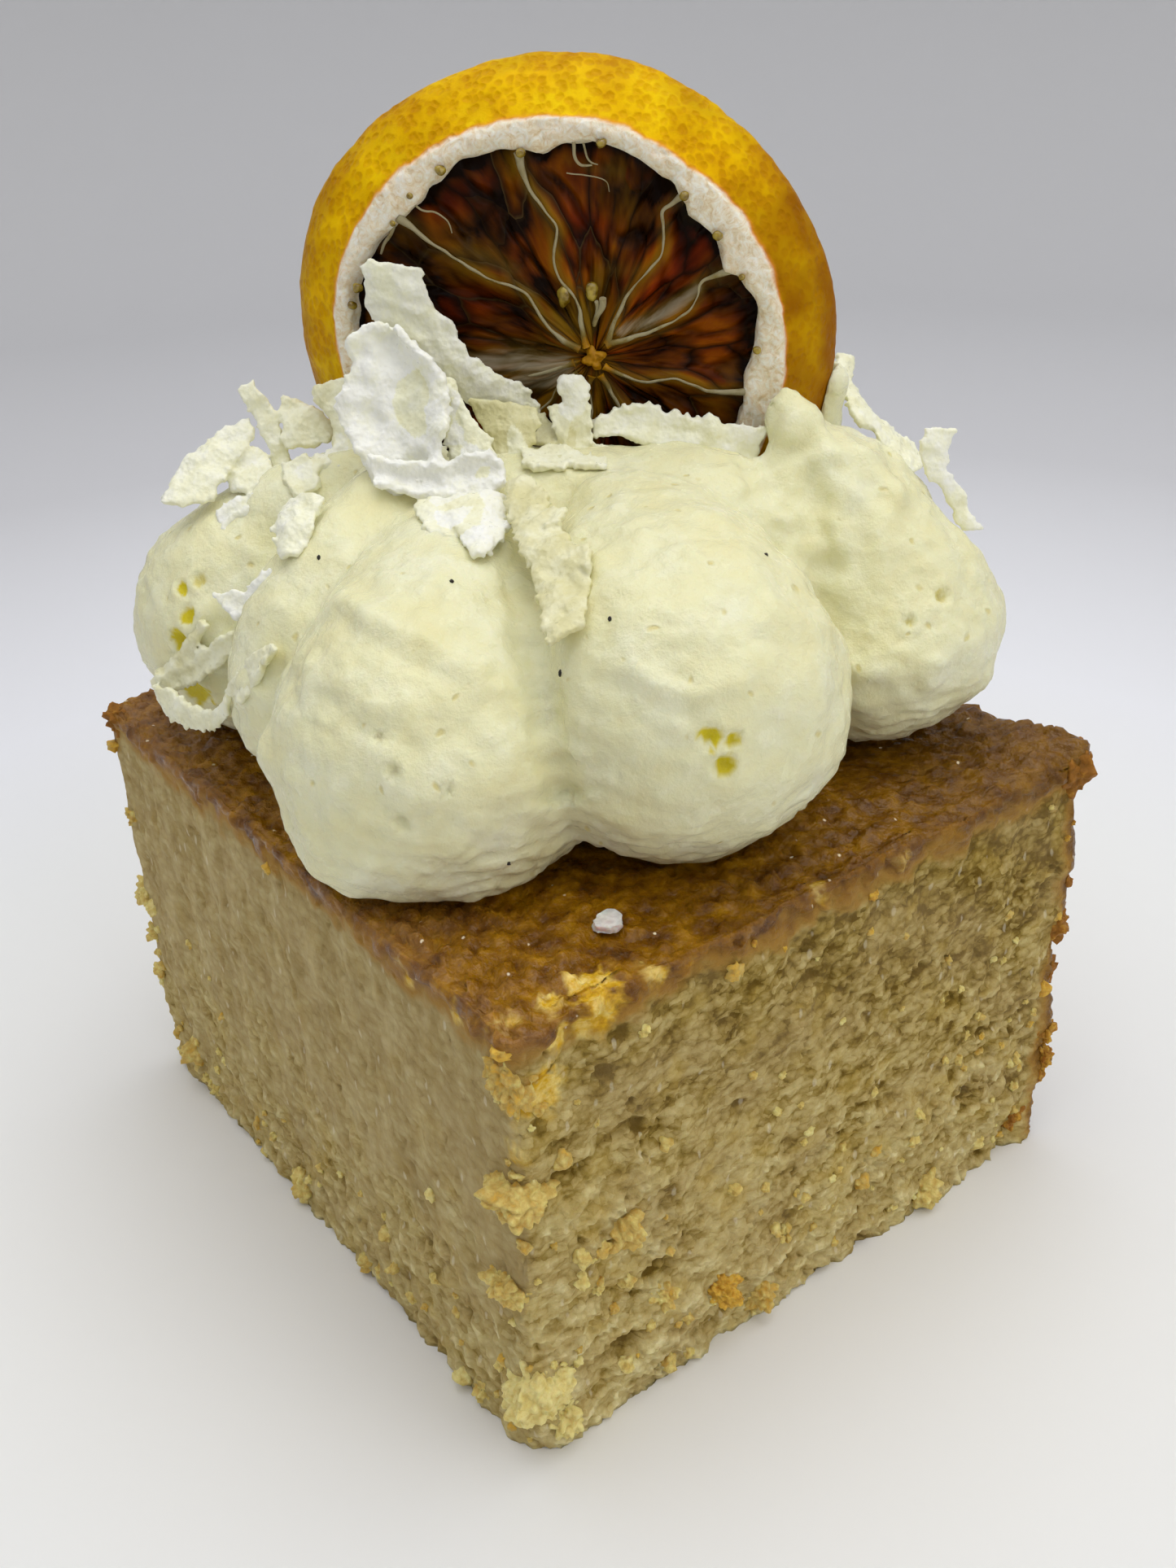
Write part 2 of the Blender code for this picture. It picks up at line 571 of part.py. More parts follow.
def back_flakes(cream):
    """Small shavings thrown over the side of the cream that faces away."""
    chance = random.Random(BACK_FLAKE_SEED)
    made = []
    while len(made) < BACK_FLAKES:
        bearing = math.radians(chance.uniform(*BACK_BEARINGS))
        reach = chance.uniform(*BACK_REACH) * MM
        above = Vector((math.cos(bearing), math.sin(bearing), 0)) * reach
        above.z = 3 * CAKE_TOP
        found, spot, normal, _ = cream.ray_cast(above, Vector((0, 0, -1)))
        if not found or normal.z < SURFACE_TILT or lemon_distance(spot) < LEMON_CLEARANCE:
            continue
        turn = Vector((chance.uniform(-1, 1), chance.uniform(-1, 1), chance.uniform(-0.4, 0.6)))
        lying = turn - normal * turn.dot(normal) * 0.7
        run = lying.normalized() * chance.uniform(*BACK_LENGTHS)
        centre = (spot + normal * FLAKE_THICK / 3) / MM
        width = chance.uniform(*BACK_WIDTHS)
        points = (centre - run, centre + run * 0.2, centre + run)
        made.append(shaving("small flake", points, (0.7 * width, width, 0.6 * width), normal))
    return made


def lemon_distance(point):
    """How far a point is from the slab that holds the lemon slice."""
    middle = LEMON_CENTRE - lemon_axes()[2] * LEMON_THICK / 2
    return abs((point - middle).dot(lemon_axes()[2])) - LEMON_THICK / 2


def make_cream():
    dollops = [dollop(name, *values) for name, values in DOLLOPS.items()]
    cream = dollops.pop(0)
    cream.name = "cream"
    cream.data.materials.append(material("whipped cream", (0.90, 0.86, 0.66), 0.5))
    combine(cream, dollops, "UNION")
    flakes = [shaving("small flake", *values) for values in SMALL_FLAKES]
    combine(cream, flakes + back_flakes(cream), "UNION")
    combine(cream, [below_cream(), lemon_room()], "DIFFERENCE")
    keep_largest(cream)
    return cream


def make_large_flakes():
    finish = material("shaved coconut", (0.88, 0.87, 0.80), 0.6)
    for name, strips in LARGE_FLAKES.items():
        made, *others = [shaving(name, *strip, cells=LARGE_CELLS) for strip in strips]
        made.name = name
        made.data.materials.append(finish)
        if others:
            combine(made, others, "UNION")
        room = [dollop("room", *values, swell=GAP) for values in DOLLOPS.values()]
        combine(made, [*room, lemon_room()], "DIFFERENCE")
        keep_largest(made)


def main():
    for old in list(bpy.data.objects):
        bpy.data.objects.remove(old)
    make_cake()
    make_cream()
    make_lemon()
    make_large_flakes()


main()
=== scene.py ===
import math
import random
from functools import partial

import bpy
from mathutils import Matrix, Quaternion, Vector, kdtree, noise


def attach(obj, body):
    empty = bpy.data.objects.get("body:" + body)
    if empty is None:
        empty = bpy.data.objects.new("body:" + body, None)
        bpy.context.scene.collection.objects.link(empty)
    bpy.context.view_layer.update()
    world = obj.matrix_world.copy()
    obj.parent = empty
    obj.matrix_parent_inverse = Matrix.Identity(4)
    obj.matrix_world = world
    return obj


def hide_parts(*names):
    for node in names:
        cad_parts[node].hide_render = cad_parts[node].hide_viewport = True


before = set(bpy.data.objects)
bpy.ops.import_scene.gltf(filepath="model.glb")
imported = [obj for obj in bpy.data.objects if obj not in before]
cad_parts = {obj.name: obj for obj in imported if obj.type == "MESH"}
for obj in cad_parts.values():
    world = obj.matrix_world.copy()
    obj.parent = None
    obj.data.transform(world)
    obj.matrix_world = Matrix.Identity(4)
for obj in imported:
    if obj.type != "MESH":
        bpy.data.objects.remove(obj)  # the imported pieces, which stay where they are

bpy.ops.object.select_all(action="DESELECT")
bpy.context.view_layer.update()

MM = 0.001
GAP = 0.3 * MM  # kept between pieces that touch

# ---- sizes of the cake block, as in the part --------------------------------------------
CAKE_WIDTH = 70.6 * MM
CAKE_DEPTH = 77 * MM
CAKE_TOP = 48.7 * MM
EDGE_ROUND = 1.6 * MM
FOOT_ROUND = 2.4 * MM
FOOT_HEIGHT = 12 * MM
FOOT_TAPER = 0.1 * MM
CRAG_SIZE = 7 * MM
CRUST_DIP = 0.7 * MM
ROUGHNESS = {"-X": 0.35 * MM, "+X": 1.0 * MM, "-Y": 0.75 * MM, "+Y": 0.6 * MM}
CRUMB_CLUSTERS = (  # (centre, radius) in mm, and how toasted: 0 is pale, 1 brown
    ((-34.3, -37.0, 43.0), 2.4, 0.16),
    ((-34.6, -37.2, 31.5), 2.6, 0.1),
    ((-35.0, -35.6, 20.4), 2.0, 0.1),
    ((-33.6, -37.2, 8.0), 3.0, -0.06),
    ((-31.5, -37.6, 3.6), 2.2, -0.04),
    ((-20.2, -37.3, 11.2), 2.3, 0.1),
    ((-13.1, -38.0, 7.4), 2.6, 0.34),
    ((-24.5, -37.5, 22.0), 2.1, 0.12),
    ((-8.0, -37.4, 3.4), 2.4, 0.14),
    ((33.6, -37.0, 46.6), 2.4, 0.62),
    ((34.6, -36.6, 27.6), 2.3, 0.55),
    ((34.4, -36.4, 21.0), 2.1, 0.6),
    ((33.8, -36.6, 15.0), 2.0, 0.52),
    ((31.6, -36.4, 3.4), 2.2, 0.5),
    ((35.0, -20.0, 33.0), 2.6, 0.58),
    ((35.0, 4.0, 18.0), 2.8, 0.6),
    ((35.2, 22.0, 38.0), 2.4, 0.6),
    ((34.8, 34.0, 9.0), 2.5, 0.55),
    ((-34.0, 36.4, 46.6), 2.3, 0.6),
    ((-34.6, 30.0, 5.0), 2.1, 0.12),
    ((10.0, 37.6, 24.0), 2.6, 0.2),
    ((-18.0, 37.6, 12.0), 2.4, 0.25),
)

# ---- sizes of the cream, as in the part --------------------------------------------------
DOLLOPS = {  # foot (x, y, height over the cake), ball radius, tip, tip radius, plumpness; mm
    "near": ((-22.7, -11.2, 9.7), 14.9, (-10.0, 2.0, 20.0), 8.0, 1.5),
    "front": ((-5.8, -23.7, 13.6), 15.0, (2.5, -7.0, 20.5), 9.0, 1.5),
    "right": ((23.0, -20.0, 11.8), 12.5, (15.3, -12.8, 33.0), 1.2, 1.0),
    "pan_side": ((25.4, 0.5, 12.0), 12.2, (26.3, -9.3, 32.4), 2.2, 1.1),
    "back_right": ((20.5, 22.5, 11.5), 13.0, (10.5, 12.0, 29.0), 4.0, 1.3),
    "back": ((-1.5, 25.5, 11.5), 13.0, (1.5, 14.0, 29.0), 4.0, 1.3),
    "left": ((-22.6, 23.4, 11.2), 12.4, (-12.0, 15.5, 22.5), 5.5, 1.5),
    "middle_left": ((-23.4, 4.8, 10.6), 10.8, (-12.0, 8.0, 24.0), 6.0, 1.5),
    "collar": ((-7.0, 3.5, 20.3), 9.0, (8.8, -10.6, 21.3), 8.4, 1.0),
    "core": ((3.0, 4.0, 3.0), 17.0, (3.2, 4.2, 10.0), 10.0, 1.5),
}
DOLLOP_SAG = 2.0 * MM
CREAM_WOBBLE = 0.45 * MM

# ---- sizes of the dried lemon slice, as in the part --------------------------------------
LEMON_CENTRE = Vector((2.4, 3.2, 85.7)) * MM
LEMON_YAW = math.radians(-43)
LEMON_LEAN = math.radians(-1.5)
FACE_RADIUS = 21.5 * MM
BACK_RADIUS = 26.3 * MM
LEMON_THICK = 6.5 * MM
PEEL_BULGE = 0.9 * MM
PITH_WIDTH = 2.4 * MM
CORE_PLACE = Vector((3.3, -0.6)) * MM


def smooth_step(low, high, value):
    share = max(0.0, min(1.0, (value - low) / (high - low)))
    return share * share * (3 - 2 * share)


def grain(point, size, seed=0.0):
    """Smooth noise from about -1 to 1, with features of the given size."""
    return noise.fractal(point / size + Vector((seed, 1.7 * seed, -seed)), 0.7, 2.0, 3)


def fine_grain(point, size, seed=0.0):
    """One octave of noise from about -1 to 1."""
    return noise.noise(point / size + Vector((seed, 1.7 * seed, -seed)))


def stretched(point, axes):
    return Vector((point.x * axes[0], point.y * axes[1], point.z * axes[2]))


# ---- materials ---------------------------------------------------------------------------
def linear(hex_colour):
    """An sRGB hex colour as linear red, green, blue and alpha."""
    values = [int(hex_colour[at : at + 2], 16) / 255 for at in (1, 3, 5)]
    return (*[v / 12.92 if v <= 0.04045 else ((v + 0.055) / 1.055) ** 2.4 for v in values], 1.0)


def add_node(tree, kind, inputs=None, stops=None, out=0, **settings):
    """Adds a node and gives one of its outputs; inputs are values or links, by socket."""
    node = tree.nodes.new("ShaderNode" + kind)
    for name, value in settings.items():
        setattr(node, name, value)
    for name, value in (inputs or {}).items():
        if isinstance(value, bpy.types.NodeSocket):
            tree.links.new(value, node.inputs[name])
        else:
            node.inputs[name].default_value = linear(value) if isinstance(value, str) else value
    if stops:
        elements = node.color_ramp.elements
        while len(elements) < len(stops):
            elements.new(1.0)
        for element, (place, colour) in zip(elements, stops):
            element.position = place
            element.color = linear(colour)
    return node.outputs[out] if node.outputs else None


def start_material(name):
    """An empty material, what adds a node to it, and the point's place on the piece."""
    material = bpy.data.materials.new(name)
    material.use_nodes = True
    material.node_tree.nodes.clear()
    add = partial(add_node, material.node_tree)
    return material, add, add("TexCoord", out="Object")


def cake_material():
    """Dense butter cake, baked and cut: moist, matt crumb under a sticky browned crust."""
    material, add, place = start_material("baked_butter_cake")
    level = add("Mapping", {"Vector": place, "Scale": (0.65, 0.65, 1)})
    patches = add("TexNoise", {"Vector": place, "Scale": 1 / (9 * MM), "Detail": 3, "Roughness": 0.6})
    mottle = add(
        "TexNoise",
        {"Vector": level, "Scale": 1 / (1.5 * MM), "Detail": 5, "Roughness": 0.66, "Distortion": 0.2},
    )
    uneven = add("Math", {0: mottle, 1: 0.5}, operation="SUBTRACT")
    warp = add("TexNoise", {"Vector": place, "Scale": 1 / (0.8 * MM), "Detail": 3}, out="Color")
    warp = add("VectorMath", {0: warp, "Scale": 0.6 * MM}, operation="SCALE")
    moved = add("VectorMath", {0: level, 1: warp})
    grains = add("TexVoronoi", {"Vector": moved, "Scale": 1 / (0.75 * MM)})
    own = add("TexVoronoi", {"Vector": moved, "Scale": 1 / (0.75 * MM)}, out="Color")
    own = add("SeparateColor", {"Color": own})
    # The relief attribute carries painted shade and light: the crumb is darker in its pits and higher up,
    # and lighter on its ridges and low down.
    relief = add("Attribute", attribute_name="relief", out="Fac")
    tone = add("Math", {0: uneven, 1: 0.9, 2: relief}, operation="MULTIPLY_ADD")
    tone = add("Math", {0: grains, 1: -0.3, 2: tone}, operation="MULTIPLY_ADD")
    tone = add("Math", {0: own, 1: 0.24, 2: tone}, operation="MULTIPLY_ADD")
    crumb = add(
        "ValToRGB",
        {0: tone},
        ((0.05, "#6A5214"), (0.22, "#9A823E"), (0.4, "#BCA668"), (0.6, "#CEBC80"), (0.9, "#F0E4AC")),
    )
    dull = add("ValToRGB", {0: patches}, ((0.42, "#000000"), (0.62, "#8C8C8C")))
    crumb = add("Mix", {0: dull, 6: crumb, 7: "#AC9468"}, data_type="RGBA", out=2)
    yellow = add("TexNoise", {"Vector": place, "Scale": 1 / (4 * MM), "Detail": 2})
    yellow = add("ValToRGB", {0: yellow}, ((0.55, "#000000"), (0.68, "#909090")))
    crumb = add("Mix", {0: yellow, 6: crumb, 7: "#C8AA50"}, data_type="RGBA", out=2)
    cut = add("Attribute", attribute_name="cut", out="Fac")
    upright = add("Mapping", {"Vector": place, "Scale": (1, 1, 0.4)})
    smear = add("TexNoise", {"Vector": upright, "Scale": 1 / (3.5 * MM), "Detail": 5, "Roughness": 0.6})
    smear = add("ValToRGB", {0: smear}, ((0.32, "#907A4C"), (0.5, "#A48E61"), (0.68, "#BEAC7F")))
    greyed = add("Math", {0: cut, 1: 0.6}, operation="MULTIPLY")
    crumb = add("Mix", {0: greyed, 6: crumb, 7: smear}, data_type="RGBA", out=2)
    # Painted highlights: small pale glints of light mixed into the crumb's colour.
    glints = add("TexVoronoi", {"Vector": upright, "Scale": 1 / (1.7 * MM)})
    painted_glints = add("ValToRGB", {0: glints}, ((0.1, "#999999"), (0.16, "#000000")))
    crumb = add("Mix", {0: painted_glints, 6: crumb, 7: "#F0E8CC"}, data_type="RGBA", out=2)
    browned = add("Attribute", attribute_name="baked", out="Fac")
    baked = add("Math", {0: uneven, 1: 0.6, 2: browned}, operation="MULTIPLY_ADD")
    lumps = add("TexNoise", {"Vector": place, "Scale": 1 / (3 * MM), "Detail": 4, "Roughness": 0.65})
    crust_tone = add("Math", {0: uneven, 1: 0.4, 2: lumps}, operation="MULTIPLY_ADD")
    crust = add(
        "ValToRGB",
        {0: crust_tone},
        ((0.2, "#341A02"), (0.38, "#683E00"), (0.54, "#8C5E00"), (0.72, "#B07E0C"), (0.9, "#D4A634")),
    )
    across = add("SeparateXYZ", {"Vector": place})
    side = add("MapRange", {"Value": across, "From Min": -24 * MM, "From Max": -33 * MM})
    away = add("MapRange", {"Value": across, "From Min": -18 * MM, "From Max": 25 * MM, "To Max": 0.5})
    crust = add("Mix", {0: away, 6: crust, 7: "#5E4010"}, data_type="RGBA", out=2)
    bloom = add("Math", {0: dull, 1: side}, operation="MULTIPLY")
    crust = add("Mix", {0: bloom, 6: crust, 7: "#A67C50"}, data_type="RGBA", out=2)
    toasting = add("ValToRGB", {0: baked}, ((0.1, "#000000"), (0.4, "#FFFFFF")))
    colour = add("Mix", {0: toasting, 6: crumb, 7: "#A8803A"}, data_type="RGBA", out=2)
    toasted = add("ValToRGB", {0: baked}, ((0.35, "#000000"), (0.7, "#FFFFFF")))
    colour = add("Mix", {0: toasted, 6: colour, 7: crust}, data_type="RGBA", out=2)
    gold = add("ValToRGB", {0: crust_tone}, ((0.3, "#A87408"), (0.46, "#DCAE24"), (0.64, "#F6E08C")))
    glazed = add("Attribute", attribute_name="amber", out="Fac")
    sugared = add("ValToRGB", {0: glazed}, ((0.2, "#000000"), (0.55, "#FFFFFF")))
    colour = add("Mix", {0: sugared, 6: colour, 7: gold}, data_type="RGBA", out=2)
    # Painted highlights: tiny pale sparkles of light on the browned crust.
    sparks = add("TexVoronoi", {"Vector": place, "Scale": 1 / (2.6 * MM)})
    sparks = add("ValToRGB", {0: sparks}, ((0.05, "#FFFFFF"), (0.08, "#000000")))
    sparks = add("Math", {0: sparks, 1: toasted}, operation="MULTIPLY")
    colour = add("Mix", {0: sparks, 6: colour, 7: "#F4E4C4"}, data_type="RGBA", out=2)
    gloss = add("ValToRGB", {0: baked}, ((0.3, "#DCDCDC"), (0.9, "#787878")))
    shine = add("ValToRGB", {0: baked}, ((0.3, "#606060"), (0.9, "#A0A0A0")))
    fine = add("TexNoise", {"Vector": place, "Scale": 1 / (0.5 * MM), "Detail": 3, "Roughness": 0.6})
    height = add("Math", {0: grains, 1: -0.5, 2: mottle}, operation="MULTIPLY_ADD")
    height = add("Math", {0: fine, 1: 0.4, 2: height}, operation="MULTIPLY_ADD")
    calm = add("Math", {0: cut, 1: -0.6, 2: 1.0}, operation="MULTIPLY_ADD")
    height = add("Math", {0: height, 1: calm}, operation="MULTIPLY")
    bump = add("Bump", {"Height": height, "Strength": 0.8, "Distance": 0.5 * MM})
    shader = add(
        "BsdfPrincipled",
        {
            "Base Color": colour,
            "Roughness": gloss,
            "Normal": bump,
            "Specular IOR Level": shine,
            "Subsurface Weight": 0.25,
            "Subsurface Radius": (1.0, 0.6, 0.2),
            "Subsurface Scale": 1.0 * MM,
        },
    )
    add("OutputMaterial", {"Surface": shader})
    return material


def crumb_material():
    """Crumbs torn off the block: the same cake, from pale yellow to toasted orange."""
    material, add, place = start_material("torn_cake_crumbs")
    mottle = add("TexNoise", {"Vector": place, "Scale": 1 / (1.1 * MM), "Detail": 5, "Roughness": 0.7})
    grains = add("TexVoronoi", {"Vector": place, "Scale": 1 / (0.8 * MM)})
    toasted = add("Attribute", attribute_name="tone", out="Fac")
    uneven = add("Math", {0: mottle, 1: 0.5}, operation="SUBTRACT")
    tone = add("Math", {0: uneven, 1: -0.7, 2: toasted}, operation="MULTIPLY_ADD")
    tone = add("Math", {0: grains, 1: 0.2, 2: tone}, operation="MULTIPLY_ADD")
    colour = add(
        "ValToRGB",
        {0: tone},
        (
            (0.0, "#F8E89C"),
            (0.14, "#E6D07C"),
            (0.28, "#D2B05C"),
            (0.4, "#E8BA48"),
            (0.65, "#A06A1E"),
            (1.0, "#6A4414"),
        ),
    )
    height = add("Math", {0: grains, 1: -0.8, 2: mottle}, operation="MULTIPLY_ADD")
    bump = add("Bump", {"Height": height, "Strength": 0.8, "Distance": 0.45 * MM})
    shader = add(
        "BsdfPrincipled",
        {
            "Base Color": colour,
            "Roughness": 0.6,
            "Normal": bump,
            "Specular IOR Level": 0.25,
            "Subsurface Weight": 0.25,
            "Subsurface Radius": (1.0, 0.6, 0.25),
            "Subsurface Scale": 0.9 * MM,
        },
    )
    add("OutputMaterial", {"Surface": shader})
    return material


def cream_material():
    """Whipped cream and cheese, piped: satin, soft light inside it, torn skin, small pores darkened with
    painted shade.
    """
    material, add, place = start_material("whipped_cream")
    patches = add("TexNoise", {"Vector": place, "Scale": 1 / (6 * MM), "Detail": 5, "Roughness": 0.65})
    fine = add("TexNoise", {"Vector": place, "Scale": 1 / (1.5 * MM), "Detail": 7, "Roughness": 0.66})
    colour = add("ValToRGB", {0: patches}, ((0.32, "#F1EBB7"), (0.5, "#F3F0C3"), (0.7, "#F7F6D4")))
    warp = add("TexNoise", {"Vector": place, "Scale": 1 / (3 * MM)}, out="Color")
    warp = add("VectorMath", {0: warp, "Scale": 2.5 * MM}, operation="SCALE")
    moved = add("VectorMath", {0: place, 1: warp})
    holes = add("TexVoronoi", {"Vector": moved, "Scale": 1 / (3.4 * MM)})
    # Painted shade: the pores are coloured darker than the skin round them.
    pores = add("ValToRGB", {0: holes}, ((0.05, "#FFFFFF"), (0.12, "#000000")))
    colour = add("Mix", {0: pores, 6: colour, 7: "#E6DC9C"}, data_type="RGBA", out=2)
    spots = add("Attribute", attribute_name="curd", out="Fac")
    curd = add("ValToRGB", {0: spots}, ((0.2, "#000000"), (0.75, "#FFFFFF")))
    colour = add("Mix", {0: curd, 6: colour, 7: "#E2D01E"}, data_type="RGBA", out=2)
    sheen = add("TexNoise", {"Vector": place, "Scale": 1 / (3 * MM), "Detail": 3})
    gloss = add("ValToRGB", {0: sheen}, ((0.35, "#646464"), (0.65, "#989898")))
    height = add("Math", {0: pores, 1: -0.3, 2: fine}, operation="MULTIPLY_ADD")
    bump = add("Bump", {"Height": height, "Strength": 0.8, "Distance": 0.42 * MM})
    shader = add(
        "BsdfPrincipled",
        {
            "Base Color": colour,
            "Roughness": gloss,
            "Normal": bump,
            "IOR": 1.4,
            "Specular IOR Level": 0.5,
            "Subsurface Weight": 0.25,
            "Subsurface Radius": (1.0, 0.8, 0.45),
            "Subsurface Scale": 1.3 * MM,
        },
    )
    add("OutputMaterial", {"Surface": shader})
    return material


def coconut_material():
    """Dried coconut shavings: milky white, crystalline, a little light passes through."""
    material, add, place = start_material("dried_coconut_flesh")
    patches = add("TexNoise", {"Vector": place, "Scale": 1 / (2.5 * MM), "Detail": 5, "Roughness": 0.65})
    grains = add("TexVoronoi", {"Vector": place, "Scale": 1 / (0.45 * MM)})
    fine = add("TexNoise", {"Vector": place, "Scale": 1 / (0.35 * MM), "Detail": 4, "Roughness": 0.75})
    creamy = add("Attribute", attribute_name="creamy", out="Fac")
    uneven = add("Math", {0: patches, 1: 0.5}, operation="SUBTRACT")
    tone = add("Math", {0: uneven, 1: 1.3, 2: creamy}, operation="MULTIPLY_ADD")
    colour = add("ValToRGB", {0: tone}, ((0.0, "#FFFFF4"), (0.4, "#FBFADC"), (1.0, "#E0DAA6")))
    sparks = add("TexVoronoi", {"Vector": place, "Scale": 1 / (0.8 * MM)})
    gloss = add("ValToRGB", {0: sparks}, ((0.12, "#505050"), (0.3, "#B4B4B4")))
    height = add("Math", {0: grains, 1: fine}, operation="ADD")
    bump = add("Bump", {"Height": height, "Strength": 0.4, "Distance": 0.2 * MM})
    shader = add(
        "BsdfPrincipled",
        {
            "Base Color": colour,
            "Roughness": gloss,
            "Normal": bump,
            "IOR": 1.45,
            "Subsurface Weight": 0.25,
            "Subsurface Radius": (1.0, 0.95, 0.75),
            "Subsurface Scale": 0.6 * MM,
        },
    )
    add("OutputMaterial", {"Surface": shader})
    return material


def peel_material():
    """Oven-dried lemon peel and pith: waxy yellow with sunk oil glands, woolly pale pith."""
    material, add, place = start_material("dried_lemon_peel")
    warp = add("TexNoise", {"Vector": place, "Scale": 1 / (1.2 * MM), "Detail": 3}, out="Color")
    shift = add("VectorMath", {0: warp, "Scale": 0.8 * MM}, operation="SCALE")
    moved = add("VectorMath", {0: place, 1: shift})
    cells = add("TexVoronoi", {"Vector": moved, "Scale": 1 / (0.85 * MM), "Randomness": 0.9})
    patches = add("TexNoise", {"Vector": place, "Scale": 1 / (5 * MM), "Detail": 5, "Roughness": 0.6})
    base = add("ValToRGB", {0: patches}, ((0.35, "#E8AE00"), (0.5, "#F6C400"), (0.68, "#FFD60A")))
    deep = add("ValToRGB", {0: patches}, ((0.35, "#C07C00"), (0.5, "#D69600"), (0.68, "#E8AC00")))
    gland = add("ValToRGB", {0: cells}, ((0.42, "#C4C4C4"), (0.66, "#000000")))
    peel = add("Mix", {0: gland, 6: base, 7: deep}, data_type="RGBA", out=2)
    # The browned attribute is real browning at the back edge and, on the flanks, browning together with
    # painted shade.
    brown = add("Attribute", attribute_name="browned", out="Fac")
    brown = add("Math", {0: brown, 1: 0.8}, operation="MULTIPLY", use_clamp=True)
    peel = add("Mix", {0: brown, 6: peel, 7: "#9C6200"}, data_type="RGBA", out=2)
    wool = add(
        "TexNoise",
        {"Vector": place, "Scale": 1 / (0.9 * MM), "Detail": 6, "Roughness": 0.7, "Distortion": 1.2},
    )
    pith = add("ValToRGB", {0: wool}, ((0.3, "#DCC08E"), (0.46, "#F4E6C8"), (0.62, "#FFFCEE")))
    pink = add("ValToRGB", {0: patches}, ((0.48, "#000000"), (0.66, "#606060")))
    pith = add("Mix", {0: pink, 6: pith, 7: "#EEC49A"}, data_type="RGBA", out=2)
    zone = add("Attribute", attribute_name="pith", out="Fac")
    inner = add("ValToRGB", {0: zone}, ((0.35, "#000000"), (0.65, "#FFFFFF")))
    colour = add("Mix", {0: inner, 6: peel, 7: pith}, data_type="RGBA", out=2)
    line = add(
        "ValToRGB",
        {0: zone},
        ((0.12, "#000000"), (0.35, "#B4B4B4"), (0.6, "#909090"), (0.85, "#000000")),
    )
    colour = add("Mix", {0: line, 6: colour, 7: "#EE8E38"}, data_type="RGBA", out=2)
    gloss = add("ValToRGB", {0: zone}, ((0.4, "#9C9C9C"), (0.7, "#E4E4E4")))
    net = add("ValToRGB", {0: cells}, ((0.1, "#000000"), (0.5, "#FFFFFF")))
    height = add("Math", {0: net, 1: wool}, operation="ADD")
    bump = add("Bump", {"Height": height, "Strength": 0.5, "Distance": 0.22 * MM})
    shader = add(
        "BsdfPrincipled",
        {
            "Base Color": colour,
            "Roughness": gloss,
            "Normal": bump,
            "Specular IOR Level": 0.03,
            "Subsurface Weight": 0.1,
            "Subsurface Radius": (1.0, 0.6, 0.05),
            "Subsurface Scale": 0.8 * MM,
        },
    )
    add("OutputMaterial", {"Surface": shader})
    return material


